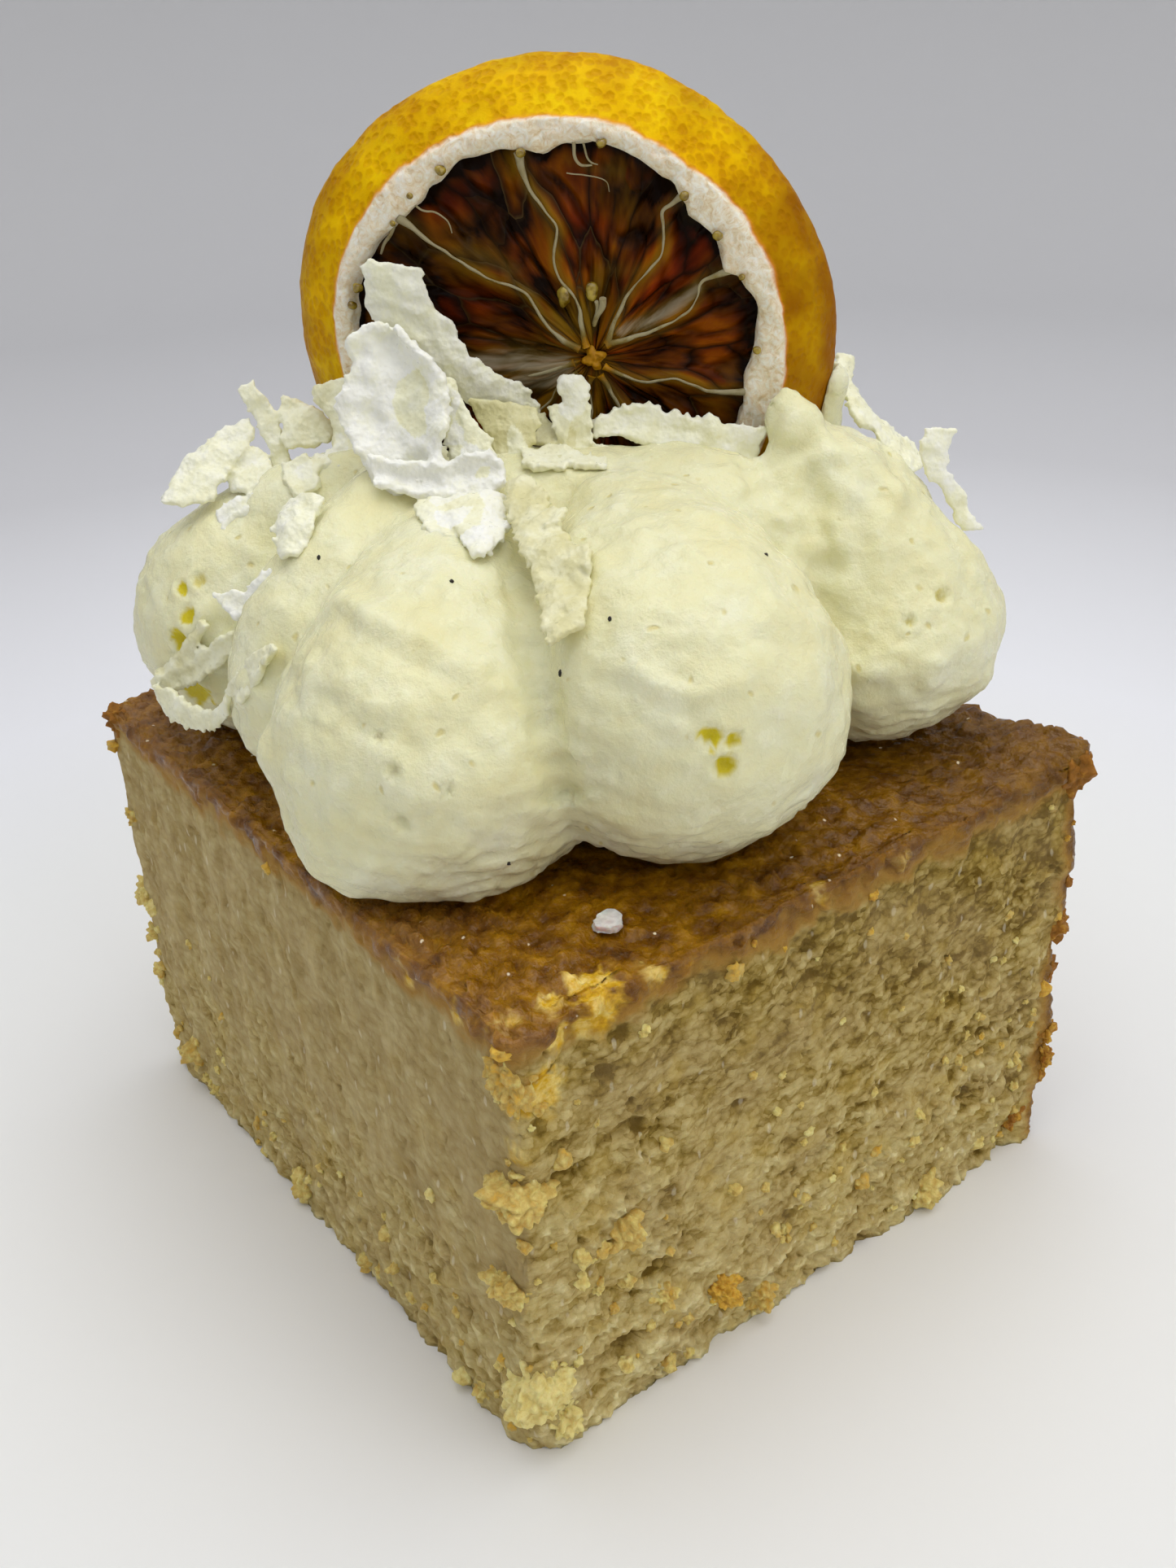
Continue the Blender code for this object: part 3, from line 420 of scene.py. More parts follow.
def flesh_material():
    """Oven-dried lemon flesh: glassy juice sacs, amber and red-brown, with painted light in them and painted
    shade, nearly black, in the gaps between.
    """
    material, add, _ = start_material("dried_lemon_flesh")
    round_core = add("Attribute", attribute_name="round_core", out="Fac")
    from_core = add("Attribute", attribute_name="from_core", out="Fac")
    sweep = add("CombineXYZ", {"X": round_core, "Y": from_core})
    bend = add("TexNoise", {"Vector": sweep, "Scale": 0.9, "Detail": 3}, out="Color")
    bend = add("VectorMath", {0: bend, "Scale": 0.6}, operation="SCALE")
    sweep = add("VectorMath", {0: sweep, 1: bend})
    seam = add("TexVoronoi", {"Vector": sweep, "Scale": 1.0}, feature="DISTANCE_TO_EDGE")
    own = add("TexVoronoi", {"Vector": sweep, "Scale": 1.0}, out="Color")
    own = add("SeparateColor", {"Color": own})
    inside = add("ValToRGB", {0: seam}, ((0.0, "#404040"), (0.05, "#A4A4A4"), (0.15, "#FFFFFF")))
    fibres = add("Mapping", {"Vector": sweep, "Scale": (3.2, 0.4, 1)})
    fibres = add("TexNoise", {"Vector": fibres, "Scale": 1.6, "Detail": 5, "Roughness": 0.65})
    threads = add("Math", {0: fibres, 1: 0.5}, operation="SUBTRACT")
    # Painted light and shade: the light attribute is each sac's glow, and inside darkens the seams between
    # sacs to near black.
    light = add("Attribute", attribute_name="light", out="Fac")
    light = add("Math", {0: threads, 1: 0.4, 2: light}, operation="MULTIPLY_ADD")
    shift = add("Math", {0: own, 1: 0.5}, operation="SUBTRACT")
    light = add("Math", {0: shift, 1: 0.4, 2: light}, operation="MULTIPLY_ADD", use_clamp=True)
    light = add("Math", {0: light, 1: inside}, operation="MULTIPLY")
    golden = add("Attribute", attribute_name="golden", out="Fac")
    golden = add("Math", {0: shift, 1: 0.35, 2: golden}, operation="MULTIPLY_ADD")
    sac = add(
        "ValToRGB", {0: golden}, ((0.0, "#963000"), (0.3, "#A04600"), (0.65, "#A26000"), (1.0, "#98700E"))
    )
    colour = add("Mix", {0: light, 6: "#140802", 7: sac}, data_type="RGBA", out=2)
    film = add("Attribute", attribute_name="film", out="Fac")
    film = add("Math", {0: threads, 1: 0.5, 2: film}, operation="MULTIPLY_ADD")
    skin = add("ValToRGB", {0: film}, ((0.0, "#5C3E04"), (0.5, "#745A1C"), (1.0, "#A4997E")))
    share = add("ValToRGB", {0: film}, ((0.05, "#000000"), (0.75, "#D8D8D8")))
    colour = add("Mix", {0: share, 6: colour, 7: skin}, data_type="RGBA", out=2)
    # Painted highlights: thin pale lines along the edges of some sacs, partly their pale membrane folds.
    edge = add("ValToRGB", {0: seam}, ((0.0, "#909090"), (0.035, "#000000")))
    glinting_sacs = add("ValToRGB", {0: own}, ((0.5, "#000000"), (0.8, "#FFFFFF")))
    edge = add("Math", {0: edge, 1: glinting_sacs}, operation="MULTIPLY")
    colour = add("Mix", {0: edge, 6: colour, 7: "#8A7040"}, data_type="RGBA", out=2)
    height = add("Math", {0: fibres, 1: 0.6, 2: inside}, operation="MULTIPLY_ADD")
    bump = add("Bump", {"Height": height, "Strength": 0.5, "Distance": 0.4 * MM})
    shader = add(
        "BsdfPrincipled",
        {"Base Color": colour, "Roughness": 0.25, "Normal": bump, "Specular IOR Level": 0.06},
    )
    add("OutputMaterial", {"Surface": shader})
    return material


def membrane_material():
    """Dried segment membrane: a parchment skin, pale and slightly see-through."""
    material, add, place = start_material("dried_lemon_membrane")
    patches = add("TexNoise", {"Vector": place, "Scale": 1 / (1.6 * MM), "Detail": 5, "Roughness": 0.65})
    uneven = add("Math", {0: patches, 1: 0.5}, operation="SUBTRACT")
    amber = add("Attribute", attribute_name="tone", out="Fac")
    tone = add("Math", {0: uneven, 1: 1.3, 2: amber}, operation="MULTIPLY_ADD")
    colour = add(
        "ValToRGB",
        {0: tone},
        ((0.0, "#A89E7C"), (0.25, "#8A7A46"), (0.5, "#7C6424"), (0.75, "#A07008"), (1.0, "#C08808")),
    )
    fine = add("TexNoise", {"Vector": place, "Scale": 1 / (0.5 * MM), "Detail": 3})
    bump = add("Bump", {"Height": fine, "Strength": 0.3, "Distance": 0.2 * MM})
    shader = add(
        "BsdfPrincipled",
        {
            "Base Color": colour,
            "Roughness": 0.4,
            "Normal": bump,
            "Specular IOR Level": 0.25,
            "Subsurface Weight": 0.2,
            "Subsurface Radius": (1.0, 0.8, 0.5),
            "Subsurface Scale": 0.6 * MM,
        },
    )
    add("OutputMaterial", {"Surface": shader})
    return material


def oil_material():
    """Beads of dried peel oil: amber glass."""
    material, add, place = start_material("dried_lemon_oil")
    patches = add("TexNoise", {"Vector": place, "Scale": 1 / (0.8 * MM)})
    colour = add("ValToRGB", {0: patches}, ((0.35, "#6E5408"), (0.65, "#B49C38")))
    shader = add(
        "BsdfPrincipled", {"Base Color": colour, "Roughness": 0.12, "IOR": 1.47, "Coat Weight": 0.5}
    )
    add("OutputMaterial", {"Surface": shader})
    return material


def sugar_material():
    """A flake of sugar: frosted, with light inside it."""
    material, add, place = start_material("sugar_crystal")
    patches = add("TexNoise", {"Vector": place, "Scale": 1 / (0.6 * MM), "Detail": 3})
    colour = add("ValToRGB", {0: patches}, ((0.3, "#D8CCC8"), (0.7, "#FFF6F2")))
    shader = add(
        "BsdfPrincipled",
        {
            "Base Color": colour,
            "Roughness": 0.3,
            "IOR": 1.54,
            "Subsurface Weight": 0.5,
            "Subsurface Scale": 1.5 * MM,
        },
    )
    add("OutputMaterial", {"Surface": shader})
    return material


def vanilla_material():
    """Vanilla seeds: dull black."""
    material, add, place = start_material("vanilla_seed")
    patches = add("TexNoise", {"Vector": place, "Scale": 1 / (0.3 * MM)})
    colour = add("ValToRGB", {0: patches}, ((0.3, "#17120E"), (0.7, "#2C241C")))
    add("OutputMaterial", {"Surface": add("BsdfPrincipled", {"Base Color": colour, "Roughness": 0.6})})
    return material


def paper_material():
    """The studio's pale sweep: plain, matt, with painted shade that greys it with distance."""
    material, add, place = start_material("pale_sweep")
    # Painted light and shade: pale near the middle, greyer with distance, as the light falls off.
    distance = add("VectorMath", {0: place}, operation="LENGTH", out="Value")
    share = add("MapRange", {"Value": distance, "From Min": 0.05, "From Max": 0.6})
    colour = add(
        "ValToRGB",
        {0: share},
        ((0.0, "#F0F0EE"), (0.08, "#F0F1F0"), (0.16, "#EEEFF3"), (0.4, "#D0D0D3"), (1.0, "#C4C4C5")),
    )
    add("OutputMaterial", {"Surface": add("BsdfPrincipled", {"Base Color": colour, "Roughness": 0.7})})
    return material


# ---- building pieces ---------------------------------------------------------------------
def named(name, material=None):
    """The active object under its name, with its place in its mesh."""
    obj = bpy.context.view_layer.objects.active
    obj.name = obj.data.name = name
    bpy.ops.object.transform_apply(location=True, rotation=True, scale=True)
    if material:
        obj.data.materials.clear()
        obj.data.materials.append(material)
    return obj


def choose(*objects):
    bpy.ops.object.select_all(action="DESELECT")
    for obj in objects:
        obj.select_set(True)
    bpy.context.view_layer.objects.active = objects[0]


def join(objects, name, material=None):
    choose(*objects)
    if len(objects) > 1:
        bpy.ops.object.join()
    return named(name, material)


def modify(obj, kind, **settings):
    """Adds a modifier and applies it."""
    choose(obj)
    modifier = obj.modifiers.new(kind.lower(), kind)
    for name, value in settings.items():
        setattr(modifier, name, value)
    bpy.ops.object.modifier_apply(modifier=modifier.name)


def shape(obj, rule):
    """Moves each vertex to where the rule puts it, from its place and its normal."""
    moved = [rule(vertex.co.copy(), vertex.normal.copy()) for vertex in obj.data.vertices]
    for vertex, place in zip(obj.data.vertices, moved):
        vertex.co = place
    obj.data.update()


def paint(obj, name, rule):
    """Writes a number on each vertex for the material to read."""
    values = obj.data.attributes.new(name, "FLOAT", "POINT").data
    for vertex, value in zip(obj.data.vertices, values):
        value.value = rule(vertex.co, vertex.normal)


def paint_list(obj, name, values):
    """Writes a list of numbers, one for each vertex in turn."""
    source = iter(values)
    paint(obj, name, lambda *_: next(source))


def smooth(obj):
    choose(obj)
    bpy.ops.object.shade_smooth()


def in_edit_mode(obj, *steps):
    """Runs steps, each an operator and its settings, on all of an object's mesh."""
    choose(obj)
    bpy.ops.object.mode_set(mode="EDIT")
    bpy.ops.mesh.select_all(action="SELECT")
    for operator, settings in steps:
        operator(**settings)
    bpy.ops.object.mode_set(mode="OBJECT")


def face_outward(obj):
    in_edit_mode(obj, (bpy.ops.mesh.normals_make_consistent, {"inside": False}))


def finish_piece(obj, slot, *nodes):
    smooth(obj)
    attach(obj, "root")
    if nodes:
        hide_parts(*nodes)


# ---- cake --------------------------------------------------------------------------------
ROUND_THE_BLOCK = 720
CRUST_THICK = 4.6 * MM
CRUST_ROOM = 1.3 * MM  # the crumb stops this far below the crust's top


def side_of(normal):
    axis = 0 if abs(normal.x) > abs(normal.y) else 1
    return ("-" if normal[axis] < 0 else "+") + "XY"[axis]


def cake_surface(across, deep, height):
    """Where a point of a plain block lies on the cake, as in the part, and its normal."""
    half = Vector((CAKE_WIDTH, CAKE_DEPTH, CAKE_TOP)) / 2
    flat = Vector((2 * across * half.x, 2 * deep * half.y, height))
    near_foot = max(0.0, 1 - flat.z / FOOT_HEIGHT)
    edge = EDGE_ROUND + FOOT_ROUND * near_foot**2
    reach = Vector((half.x - edge, half.y - edge))
    inner = Vector(
        (
            max(-reach.x, min(reach.x, flat.x)),
            max(-reach.y, min(reach.y, flat.y)),
            min(flat.z, CAKE_TOP - EDGE_ROUND),
        )
    )
    normal = (flat - inner).normalized()
    point = inner + normal * (EDGE_ROUND if normal.z > 0 else edge)
    sideways = Vector((normal.x, normal.y, 0))
    if sideways.length > 0.3:
        depth = ROUGHNESS[side_of(sideways)] * grain(point, CRAG_SIZE)
        low = 1 - point.z / CAKE_TOP
        point += sideways.normalized() * (depth - FOOT_TAPER * low**2)
    if normal.z > 0.5:
        point.z -= CRUST_DIP * (0.5 + 0.5 * grain(point, CRAG_SIZE, 5.0))
    return point, normal


def clumps(point, size, seed=0.0):
    """Rounded grains with creases between them: about 1 on a grain, 0 in a crease."""
    near, second = noise.voronoi(point / size + Vector((seed, -seed, seed)))[0][:2]
    return min(1.0, 1.5 * (second - near))


def broken(point, size, seed=0.0):
    """Flat-topped lumps, each as high as it happens to be, from about -1 to 1."""
    distances, places = noise.voronoi(point / size + Vector((seed, -seed, seed)))
    return 1.6 * smooth_step(0.0, 0.22, distances[1] - distances[0]) * noise.noise(places[0] * 3.7)


def steps(value, count):
    """Turns a slope into ledges: the same value, gone up in steps."""
    whole = math.floor(value * count)
    return (whole + smooth_step(0.3, 0.7, value * count - whole)) / count


CRUMB_POCKETS = (  # ((right, height) in mm on the front face, radius, depth) of its largest holes
    ((-28.2, 45.7), 1.0, 0.9),
    ((-24.3, 44.1), 0.8, 0.7),
    ((-13.2, 39.2), 0.8, 0.8),
    ((-26.0, 40.6), 0.9, 0.8),
    ((-23.2, 32.8), 1.0, 1.1),
    ((-11.8, 28.1), 0.7, 0.8),
    ((-14.4, 22.4), 0.8, 0.8),
    ((-31.1, 35.7), 0.8, 0.8),
    ((-30.5, 31.6), 1.3, 1.2),
    ((-28.0, 20.2), 1.1, 1.0),
    ((-20.0, 15.0), 1.3, 1.1),
    ((-8.5, 12.0), 1.0, 0.9),
    ((4.0, 20.0), 0.9, 0.9),
    ((12.0, 33.0), 0.8, 0.7),
    ((22.0, 12.0), 1.1, 1.0),
    ((-25.0, 8.0), 1.2, 1.1),
)


def torn_crumb(point):
    """The sides torn level with the layers: fine grains, slits and, low down, ledges. In mm."""
    rough = smooth_step(0.3, 0.9, 1 - point.z / CAKE_TOP + 0.5 * grain(point, 16 * MM, 2.0))
    level = stretched(point, (0.5, 0.5, 1.0))
    ledges = steps(0.5 + 0.5 * grain(level, 2.0 * MM, 3.0), 4) - 0.5
    slits = smooth_step(0.06, 0.0, abs(grain(level, 2.8 * MM, 11.0)))
    slits *= smooth_step(0.3 - 0.25 * rough, 0.6, grain(point, 5 * MM, 8.0))
    warped = point + 0.5 * MM * Vector((grain(point, 1.2 * MM, 5.0), 0, grain(point, 1.2 * MM, 6.0)))
    grains = clumps(warped, 1.0 * MM) - 0.5
    knobs = clumps(stretched(warped, (0.7, 0.7, 1.0)), 2.4 * MM, 4.0) - 0.5
    height = (0.1 + 0.4 * rough) * ledges - (0.5 + 0.6 * rough) * slits
    for place, radius, depth in CRUMB_POCKETS:
        share = math.hypot(0.6 * (point.x / MM - place[0]), 1.15 * (point.z / MM - place[1])) / radius
        if point.y < 0 and share < 2:
            height -= 0.6 * depth * math.exp(-(max(0.0, share + 0.7 * grain(point, 1.2 * MM, 22.0)) ** 4))
    height += (0.14 + 0.24 * rough) * grains + (0.04 + 0.2 * rough) * knobs
    height += (0.12 + 0.4 * rough) * broken(stretched(warped, (0.7, 0.7, 1.0)), 1.9 * MM, 2.0)
    height += (0.1 + 0.14 * rough) * broken(warped, 1.0 * MM, 6.0)
    return height + 0.1 * grain(point, 0.8 * MM, 21.0)


def rough_foot(point):
    """How far a point of the cut side is down in its rough foot, from 0 to 1."""
    return smooth_step(0.5, 0.9, 1 - point.z / CAKE_TOP + 0.3 * grain(point, 9 * MM, 2.0))


def smeared(point, normal):
    """How much the knife has smeared the crumb at a point."""
    return smooth_step(0.5, 0.9, -normal.x) * (1 - 0.7 * rough_foot(point))


def cut_crumb(point):
    """The side cut with a knife: smeared nearly smooth, faint upright streaks, rough foot. In mm."""
    rough = rough_foot(point)
    upright = stretched(point, (1.0, 1.0, 0.4))
    height = 0.06 * grain(upright, 1.2 * MM, 4.0) + 0.16 * grain(point, 3.5 * MM, 23.0)
    height += 0.07 * (clumps(point, 0.9 * MM, 3.0) - 0.5)
    height -= 0.3 * smooth_step(0.5, 0.64, grain(upright, 1.5 * MM, 9.0))
    height += rough * (0.45 * (clumps(point, 1.4 * MM) - 0.5) + 0.3 * grain(point, 2.0 * MM, 12.0))
    height += 0.4 * rough * broken(point, 1.7 * MM, 5.0)
    return height


def pan_crumb(point):
    """The side that was baked against the pan: lumpy and closed. In mm."""
    return 0.4 * grain(point, 2.2 * MM, 13.0) + 0.35 * (clumps(point, 2.0 * MM) - 0.5)


LIPS = (  # (place in mm, reach, rise) where the crust stands up at a corner
    ((35.0, -36.0), 9.0, 2.0),
    ((-34.0, 38.0), 8.0, 0.5),
)


def crust_relief(point):
    """The browned top: wrinkled, and lumpy along its rim. In mm."""
    rim = max(abs(point.x) - CAKE_WIDTH / 2, abs(point.y) - CAKE_DEPTH / 2)
    lumpy = smooth_step(-16 * MM, -1 * MM, rim)
    wrinkles = 0.35 - abs(grain(point, 3.0 * MM, 6.0))
    warped = point + 0.6 * MM * Vector((grain(point, 2 * MM, 5.0), grain(point, 2 * MM, 6.0), 0))
    height = 0.5 * wrinkles - 0.35 + 0.22 * grain(point, 1.1 * MM, 7.0)
    height += (0.15 + 0.65 * lumpy) * (clumps(warped, 2.1 * MM) - 0.55)
    for (right, deep), reach, rise in LIPS:
        far = math.hypot(point.x / MM - right, point.y / MM - deep) / reach
        height += rise * math.exp(-(far**2))
    return height + 0.25 * (clumps(point, 1.2 * MM, 9.0) - 0.5) * (0.3 + 0.7 * lumpy)


def relief(point, normal):
    """How far the crumb stands out at a point, blended over the edges. In mm."""
    height = 0.0
    if abs(normal.y) > 0.05:
        height += normal.y**2 * torn_crumb(point)
    if normal.x < -0.05:
        height += normal.x**2 * cut_crumb(point)
    if normal.x > 0.05:
        height += normal.x**2 * pan_crumb(point)
    if normal.z > 0.05:
        height += normal.z**2 * crust_relief(point)
    return height


def wrapped(name, rings, relief_rule, material):
    """A ball whose rings are wrapped round the block: each is (share of its size, height)."""
    bpy.ops.mesh.primitive_uv_sphere_add(
        segments=ROUND_THE_BLOCK, ring_count=len(rings) - 1, radius=1
    )
    block = named(name, material)
    painted_relief_shade = []

    def place(unit, _):
        out, height = rings[round(math.acos(max(-1.0, min(1.0, -unit.z))) / math.pi * (len(rings) - 1))]
        turn = math.atan2(unit.y, unit.x) / math.pi * 2 % 4
        along = turn % 1 - 0.5
        across, deep = ((0.5, along), (-along, 0.5), (-0.5, -along), (along, -0.5))[int(turn) % 4]
        on_top = height >= CAKE_TOP
        point, normal = cake_surface(*((across * out, deep * out) if on_top else (across, deep)), height)
        stands = relief_rule(point, normal)
        # Painted shade and light: darker in the pits, higher up the sides and towards the right; lighter on
        # the ridges and low down, less so on the cut side.
        lighter_foot = 0.42 - 0.36 * max(0.0, -normal.x)
        shaded = lighter_foot * (0.4 - point.z / CAKE_TOP) - 0.16 * point.x / CAKE_WIDTH
        painted_relief_shade.append(0.46 + 0.48 * stands + shaded)
        point += normal * stands * MM
        if not on_top:
            point = Vector((point.x * out, point.y * out, point.z if out == 1 else height))
        return point

    shape(block, place)
    paint_list(block, "relief", painted_relief_shade)
    paint(block, "baked", baked)
    paint(block, "amber", amber)
    paint(block, "cut", smeared)
    finish_piece(block, "cake_crumb", "cake")
    return block


def make_cake(material):
    rows = 112
    top = CAKE_TOP - CRUST_ROOM
    rings = [(out, 0.0) for out in (0.0, 0.3, 0.6, 0.85, 0.97)]
    rings += [(1.0, top * row / rows) for row in range(rows + 1)]
    rings += [(out, top) for out in (0.97, 0.85, 0.6, 0.3, 0.0)]
    return wrapped("cake_crumb_block", rings, relief, material)


def make_crust(material):
    low = CAKE_TOP - CRUST_THICK
    rows = 12
    rings = [(out, low) for out in (0.0, 0.5, 0.95)]
    rings += [(1.0, low + CRUST_THICK * row / rows) for row in range(rows)]
    rings += [(1 - 0.5 * (step / 44) ** 1.1, CAKE_TOP) for step in range(45)]
    rings += [(out, CAKE_TOP) for out in (0.4, 0.25, 0.0)]

    def stands_out(point, normal):
        under = (CAKE_TOP - point.z) / CRUST_THICK + 0.35 * grain(point, 3.5 * MM, 24.0)
        lip = 0.4 - 1.3 * smooth_step(0.35, 0.95, under)
        lip += 0.55 * (clumps(point, 1.9 * MM, 6.0) - 0.5) * smooth_step(1.0, 0.5, under)
        sideways = normal.x**2 + normal.y**2
        return relief(point, normal) + sideways * lip

    return wrapped("cake_crust", rings, stands_out, material)


def baked(point, _=None):
    """How browned the cake is: 1 on the crust, 0 in the crumb."""
    depth = (CAKE_TOP - point.z) / MM + 1.6 * grain(point, 3.5 * MM, 14.0)
    top = 1 - smooth_step(-0.5, 6.0, depth)
    wall = (CAKE_WIDTH / 2 - point.x) / MM + 0.9 * grain(point, 4 * MM, 15.0)
    return max(top, 0.9 * (1 - smooth_step(-0.5, 4.5, wall)))


GOLD_SPOTS = (  # (place, radius in mm, how golden) where sugary gold shows at the near corner
    ((-25.7, -36.6, 48.2), 1.9, 1.0),
    ((-29.7, -36.9, 48.4), 1.8, 0.6),
    ((-26.7, -38.2, 46.6), 2.1, 1.0),
    ((-32.6, -37.6, 41.5), 2.8, 0.8),
    ((-31.0, -38.0, 46.0), 1.6, 0.7),
    ((-34.5, -37.4, 36.4), 1.6, 0.5),
    ((-33.6, -36.0, 46.6), 1.8, 0.5),
    ((-35.0, -23.4, 46.0), 2.0, 0.35),
    ((-34.6, -31.0, 46.2), 1.6, 0.45),
    ((-21.0, -38.2, 47.0), 1.6, 0.45),
    ((-2.0, -38.2, 47.0), 1.4, 0.4),
    ((8.0, -38.2, 46.4), 1.6, 0.35),
)


def amber(point, _=None):
    """How much sugary gold shows at a point."""
    here = point / MM + 0.7 * Vector((grain(point, 2 * MM, 17.0), grain(point, 2 * MM, 18.0), 0))
    glow = max(
        amount * math.exp(-(((here - Vector(at)).length / radius) ** 2)) for at, radius, amount in GOLD_SPOTS
    )
    return glow * (1 + 0.9 * grain(point, 1.1 * MM, 25.0))


# ---- cream -------------------------------------------------------------------------------
def dollop_point(values, share, angle):
    """A point on a dollop: share runs from -1 at the ball's far pole to 1 at the tip."""
    foot, ball, tip, tip_radius, plumpness = values
    foot = Vector(foot) * MM + Vector((0, 0, CAKE_TOP))
    tip = Vector(tip) * MM + Vector((0, 0, CAKE_TOP))
    ball, tip_radius = ball * MM, tip_radius * MM
    outward = Vector((foot.x - tip.x, foot.y - tip.y, 0)).normalized()
    middle = (foot + tip) / 2 + outward * 2 * DOLLOP_SAG
    sideways = Vector((-outward.y, outward.x, 0))
    along = max(0.0, min(1.0, share / 0.8))
    centre = foot * (1 - along) ** 2 + middle * 2 * along * (1 - along) + tip * along**2
    heading = ((middle - foot) * (1 - along) + (tip - middle) * along).normalized()
    radius = tip_radius + (ball - tip_radius) * (1 - along**plumpness)
    if share < 0:
        turn = share * math.pi / 2
        centre, radius = centre + heading * ball * math.sin(turn), ball * math.cos(turn)
    elif share > 0.8:
        turn = (share - 0.8) / 0.2 * math.pi / 2
        centre, radius = centre + heading * tip_radius * math.sin(turn), tip_radius * math.cos(turn)
    across = heading.cross(sideways).normalized()
    return centre + radius * (math.cos(angle) * sideways + math.sin(angle) * across)


def make_dollop(name, values):
    bpy.ops.mesh.primitive_uv_sphere_add(segments=64, ring_count=40, radius=1)
    dollop = named(name)

    def place(unit, _):
        share = math.asin(max(-1.0, min(1.0, unit.z))) / (math.pi / 2)
        return dollop_point(values, share, math.atan2(unit.y, unit.x))

    shape(dollop, place)
    face_outward(dollop)
    return dollop


CREAM_VOXEL = 0.5 * MM
CREAM_PITS = (  # (place in mm, radius, depth, curd) of holes and curd spots in the cream
    ((-31.8, 19.2, 66.3), 0.9, 0.5, 1.0),
    ((-32.0, 17.7, 64.1), 1.1, 0.7, 1.0),
    ((-33.3, 18.4, 61.8), 1.2, 0.8, 1.0),
    ((-32.4, 18.4, 56.0), 2.1, 1.0, 1.0),
    ((-30.5, 18.0, 67.1), 0.9, 0.5, 0.5),
    ((-13.3, -36.4, 65.3), 1.1, 0.7, 0.9),
    ((-11.9, -37.2, 64.9), 0.9, 0.6, 0.8),
    ((-12.6, -37.0, 62.9), 1.1, 0.9, 0.8),
    ((-6.8, -29.3, 74.7), 0.8, 0.5, 0.3),
    ((-16.5, -31.9, 65.4), 0.6, 0.5, 0.2),
    ((21.4, -29.3, 65.6), 0.95, 1.5, 0.45),
    ((17.8, -28.7, 63.9), 0.95, 1.5, 0.45),
    ((-33.2, -21.0, 63.0), 0.8, 0.8, 0.1),
    ((-29.9, -23.7, 61.4), 0.6, 0.6, 0.1),
    ((-33.3, -21.6, 58.6), 0.8, 0.7, 0.1),
    ((-33.3, -19.1, 65.4), 0.6, 0.5, 0.1),
    ((-28.0, -24.6, 63.8), 0.5, 0.5, 0.1),
    ((14.3, -17.2, 71.2), 1.2, 0.8, 0.2),
    ((-18.5, -31.0, 62.0), 0.5, 0.4, 0.1),
)
CREAM_BUMPS = (  # (place in mm, radius, height)
    ((18.1, -31.8, 59.5), 1.6, 0.7),
    ((-36.4, -5.8, 59.5), 2.2, 1.3),
    ((13.6, -12.4, 82.4), 2.2, -1.6),
    ((19.6, -12.6, 80.4), 1.8, -0.8),
    ((-35.6, -13.0, 52.6), 6.0, 0.9),
    ((-6.5, -36.4, 53.0), 6.0, -0.9),
    ((-11.0, -37.5, 61.0), 2.2, 0.5),
    ((16.2, -16.2, 80.4), 1.8, 0.6),
    ((16.5, -18.2, 77.7), 1.5, 0.7),
    ((17.0, -21.0, 75.1), 1.6, 0.8),
    ((20.1, -20.0, 77.3), 1.5, 0.7),
    ((15.2, -20.8, 72.3), 1.7, 0.7),
    ((14.4, -19.8, 69.1), 1.5, 0.6),
    ((18.6, -23.7, 72.3), 1.6, 0.7),
    ((21.3, -23.1, 74.7), 1.6, 0.6),
    ((-31.5, -22.5, 60.4), 1.5, 0.4),
)
CREAM_FILLS = {  # cream that has slumped against the dollops; its values are those of a dollop
    "right_tip": ((17.4, -15.2, 26.5), 3.4, (16.4, -12.8, 34.4), 0.4, 0.8),
    "right_shoulder": ((24.0, -16.6, 17.5), 8.0, (20.4, -14.0, 26.0), 4.5, 1.2),
    "right_flank": ((13.5, -16.5, 17.0), 5.0, (15.5, -14.4, 28.0), 1.8, 1.0),
    "left_heap": ((-19.5, 18.5, 21.0), 6.0, (-13.0, 13.0, 25.6), 3.5, 1.2),
}
CREAM_RIDGES = (  # (line in mm, width, height) of lips and creases left by the nozzle
    (
        (
            (-28.5, -6.4, 71.9), (-28.8, -12.6, 72.2), (-27.8, -15.8, 71.4), (-26.2, -18.7, 70.3),
            (-24.4, -21.1, 69.0),
        ),
        1.1, 0.55,
    ),
    (((-29.9, -8.0, 71.4), (-30.2, -13.2, 71.4), (-28.9, -17.4, 70.2), (-26.8, -20.6, 68.9)), 1.3, -0.45),
    (
        (
            (-34.2, -13.2, 67.6), (-34.1, -17.8, 65.6), (-31.7, -21.0, 64.9), (-28.1, -22.6, 65.5),
            (-24.8, -22.6, 67.3),
        ),
        1.5, -0.4,
    ),
    (((-16.4, -30.4, 70.2), (-15.5, -32.7, 69.2), (-13.4, -35.1, 68.8), (-10.2, -36.5, 69.1)), 0.9, 0.4),
    (((-12.9, -22.5, 75.2), (-14.9, -28.1, 73.2), (-16.0, -31.4, 69.8)), 1.3, 0.3),
    (((-34.9, -16.4, 56.0), (-32.6, -21.2, 54.8), (-29.4, -24.0, 54.2), (-25.4, -25.2, 54.6)), 0.8, -0.4),
    (((-33.6, -17.6, 53.4), (-31.4, -21.4, 52.6), (-28.0, -23.6, 52.2)), 0.7, -0.35),
    (
        (
            (-14.6, -12.6, 74.7), (-17.7, -18.7, 71.5), (-20.4, -23.5, 67.6), (-21.2, -25.9, 63.5),
            (-21.0, -26.7, 59.7), (-19.6, -25.8, 56.2),
        ),
        1.2, -1.9,
    ),
)
RIDGE_REACH = 16  # mm round a line's second place, beyond which it isn't felt


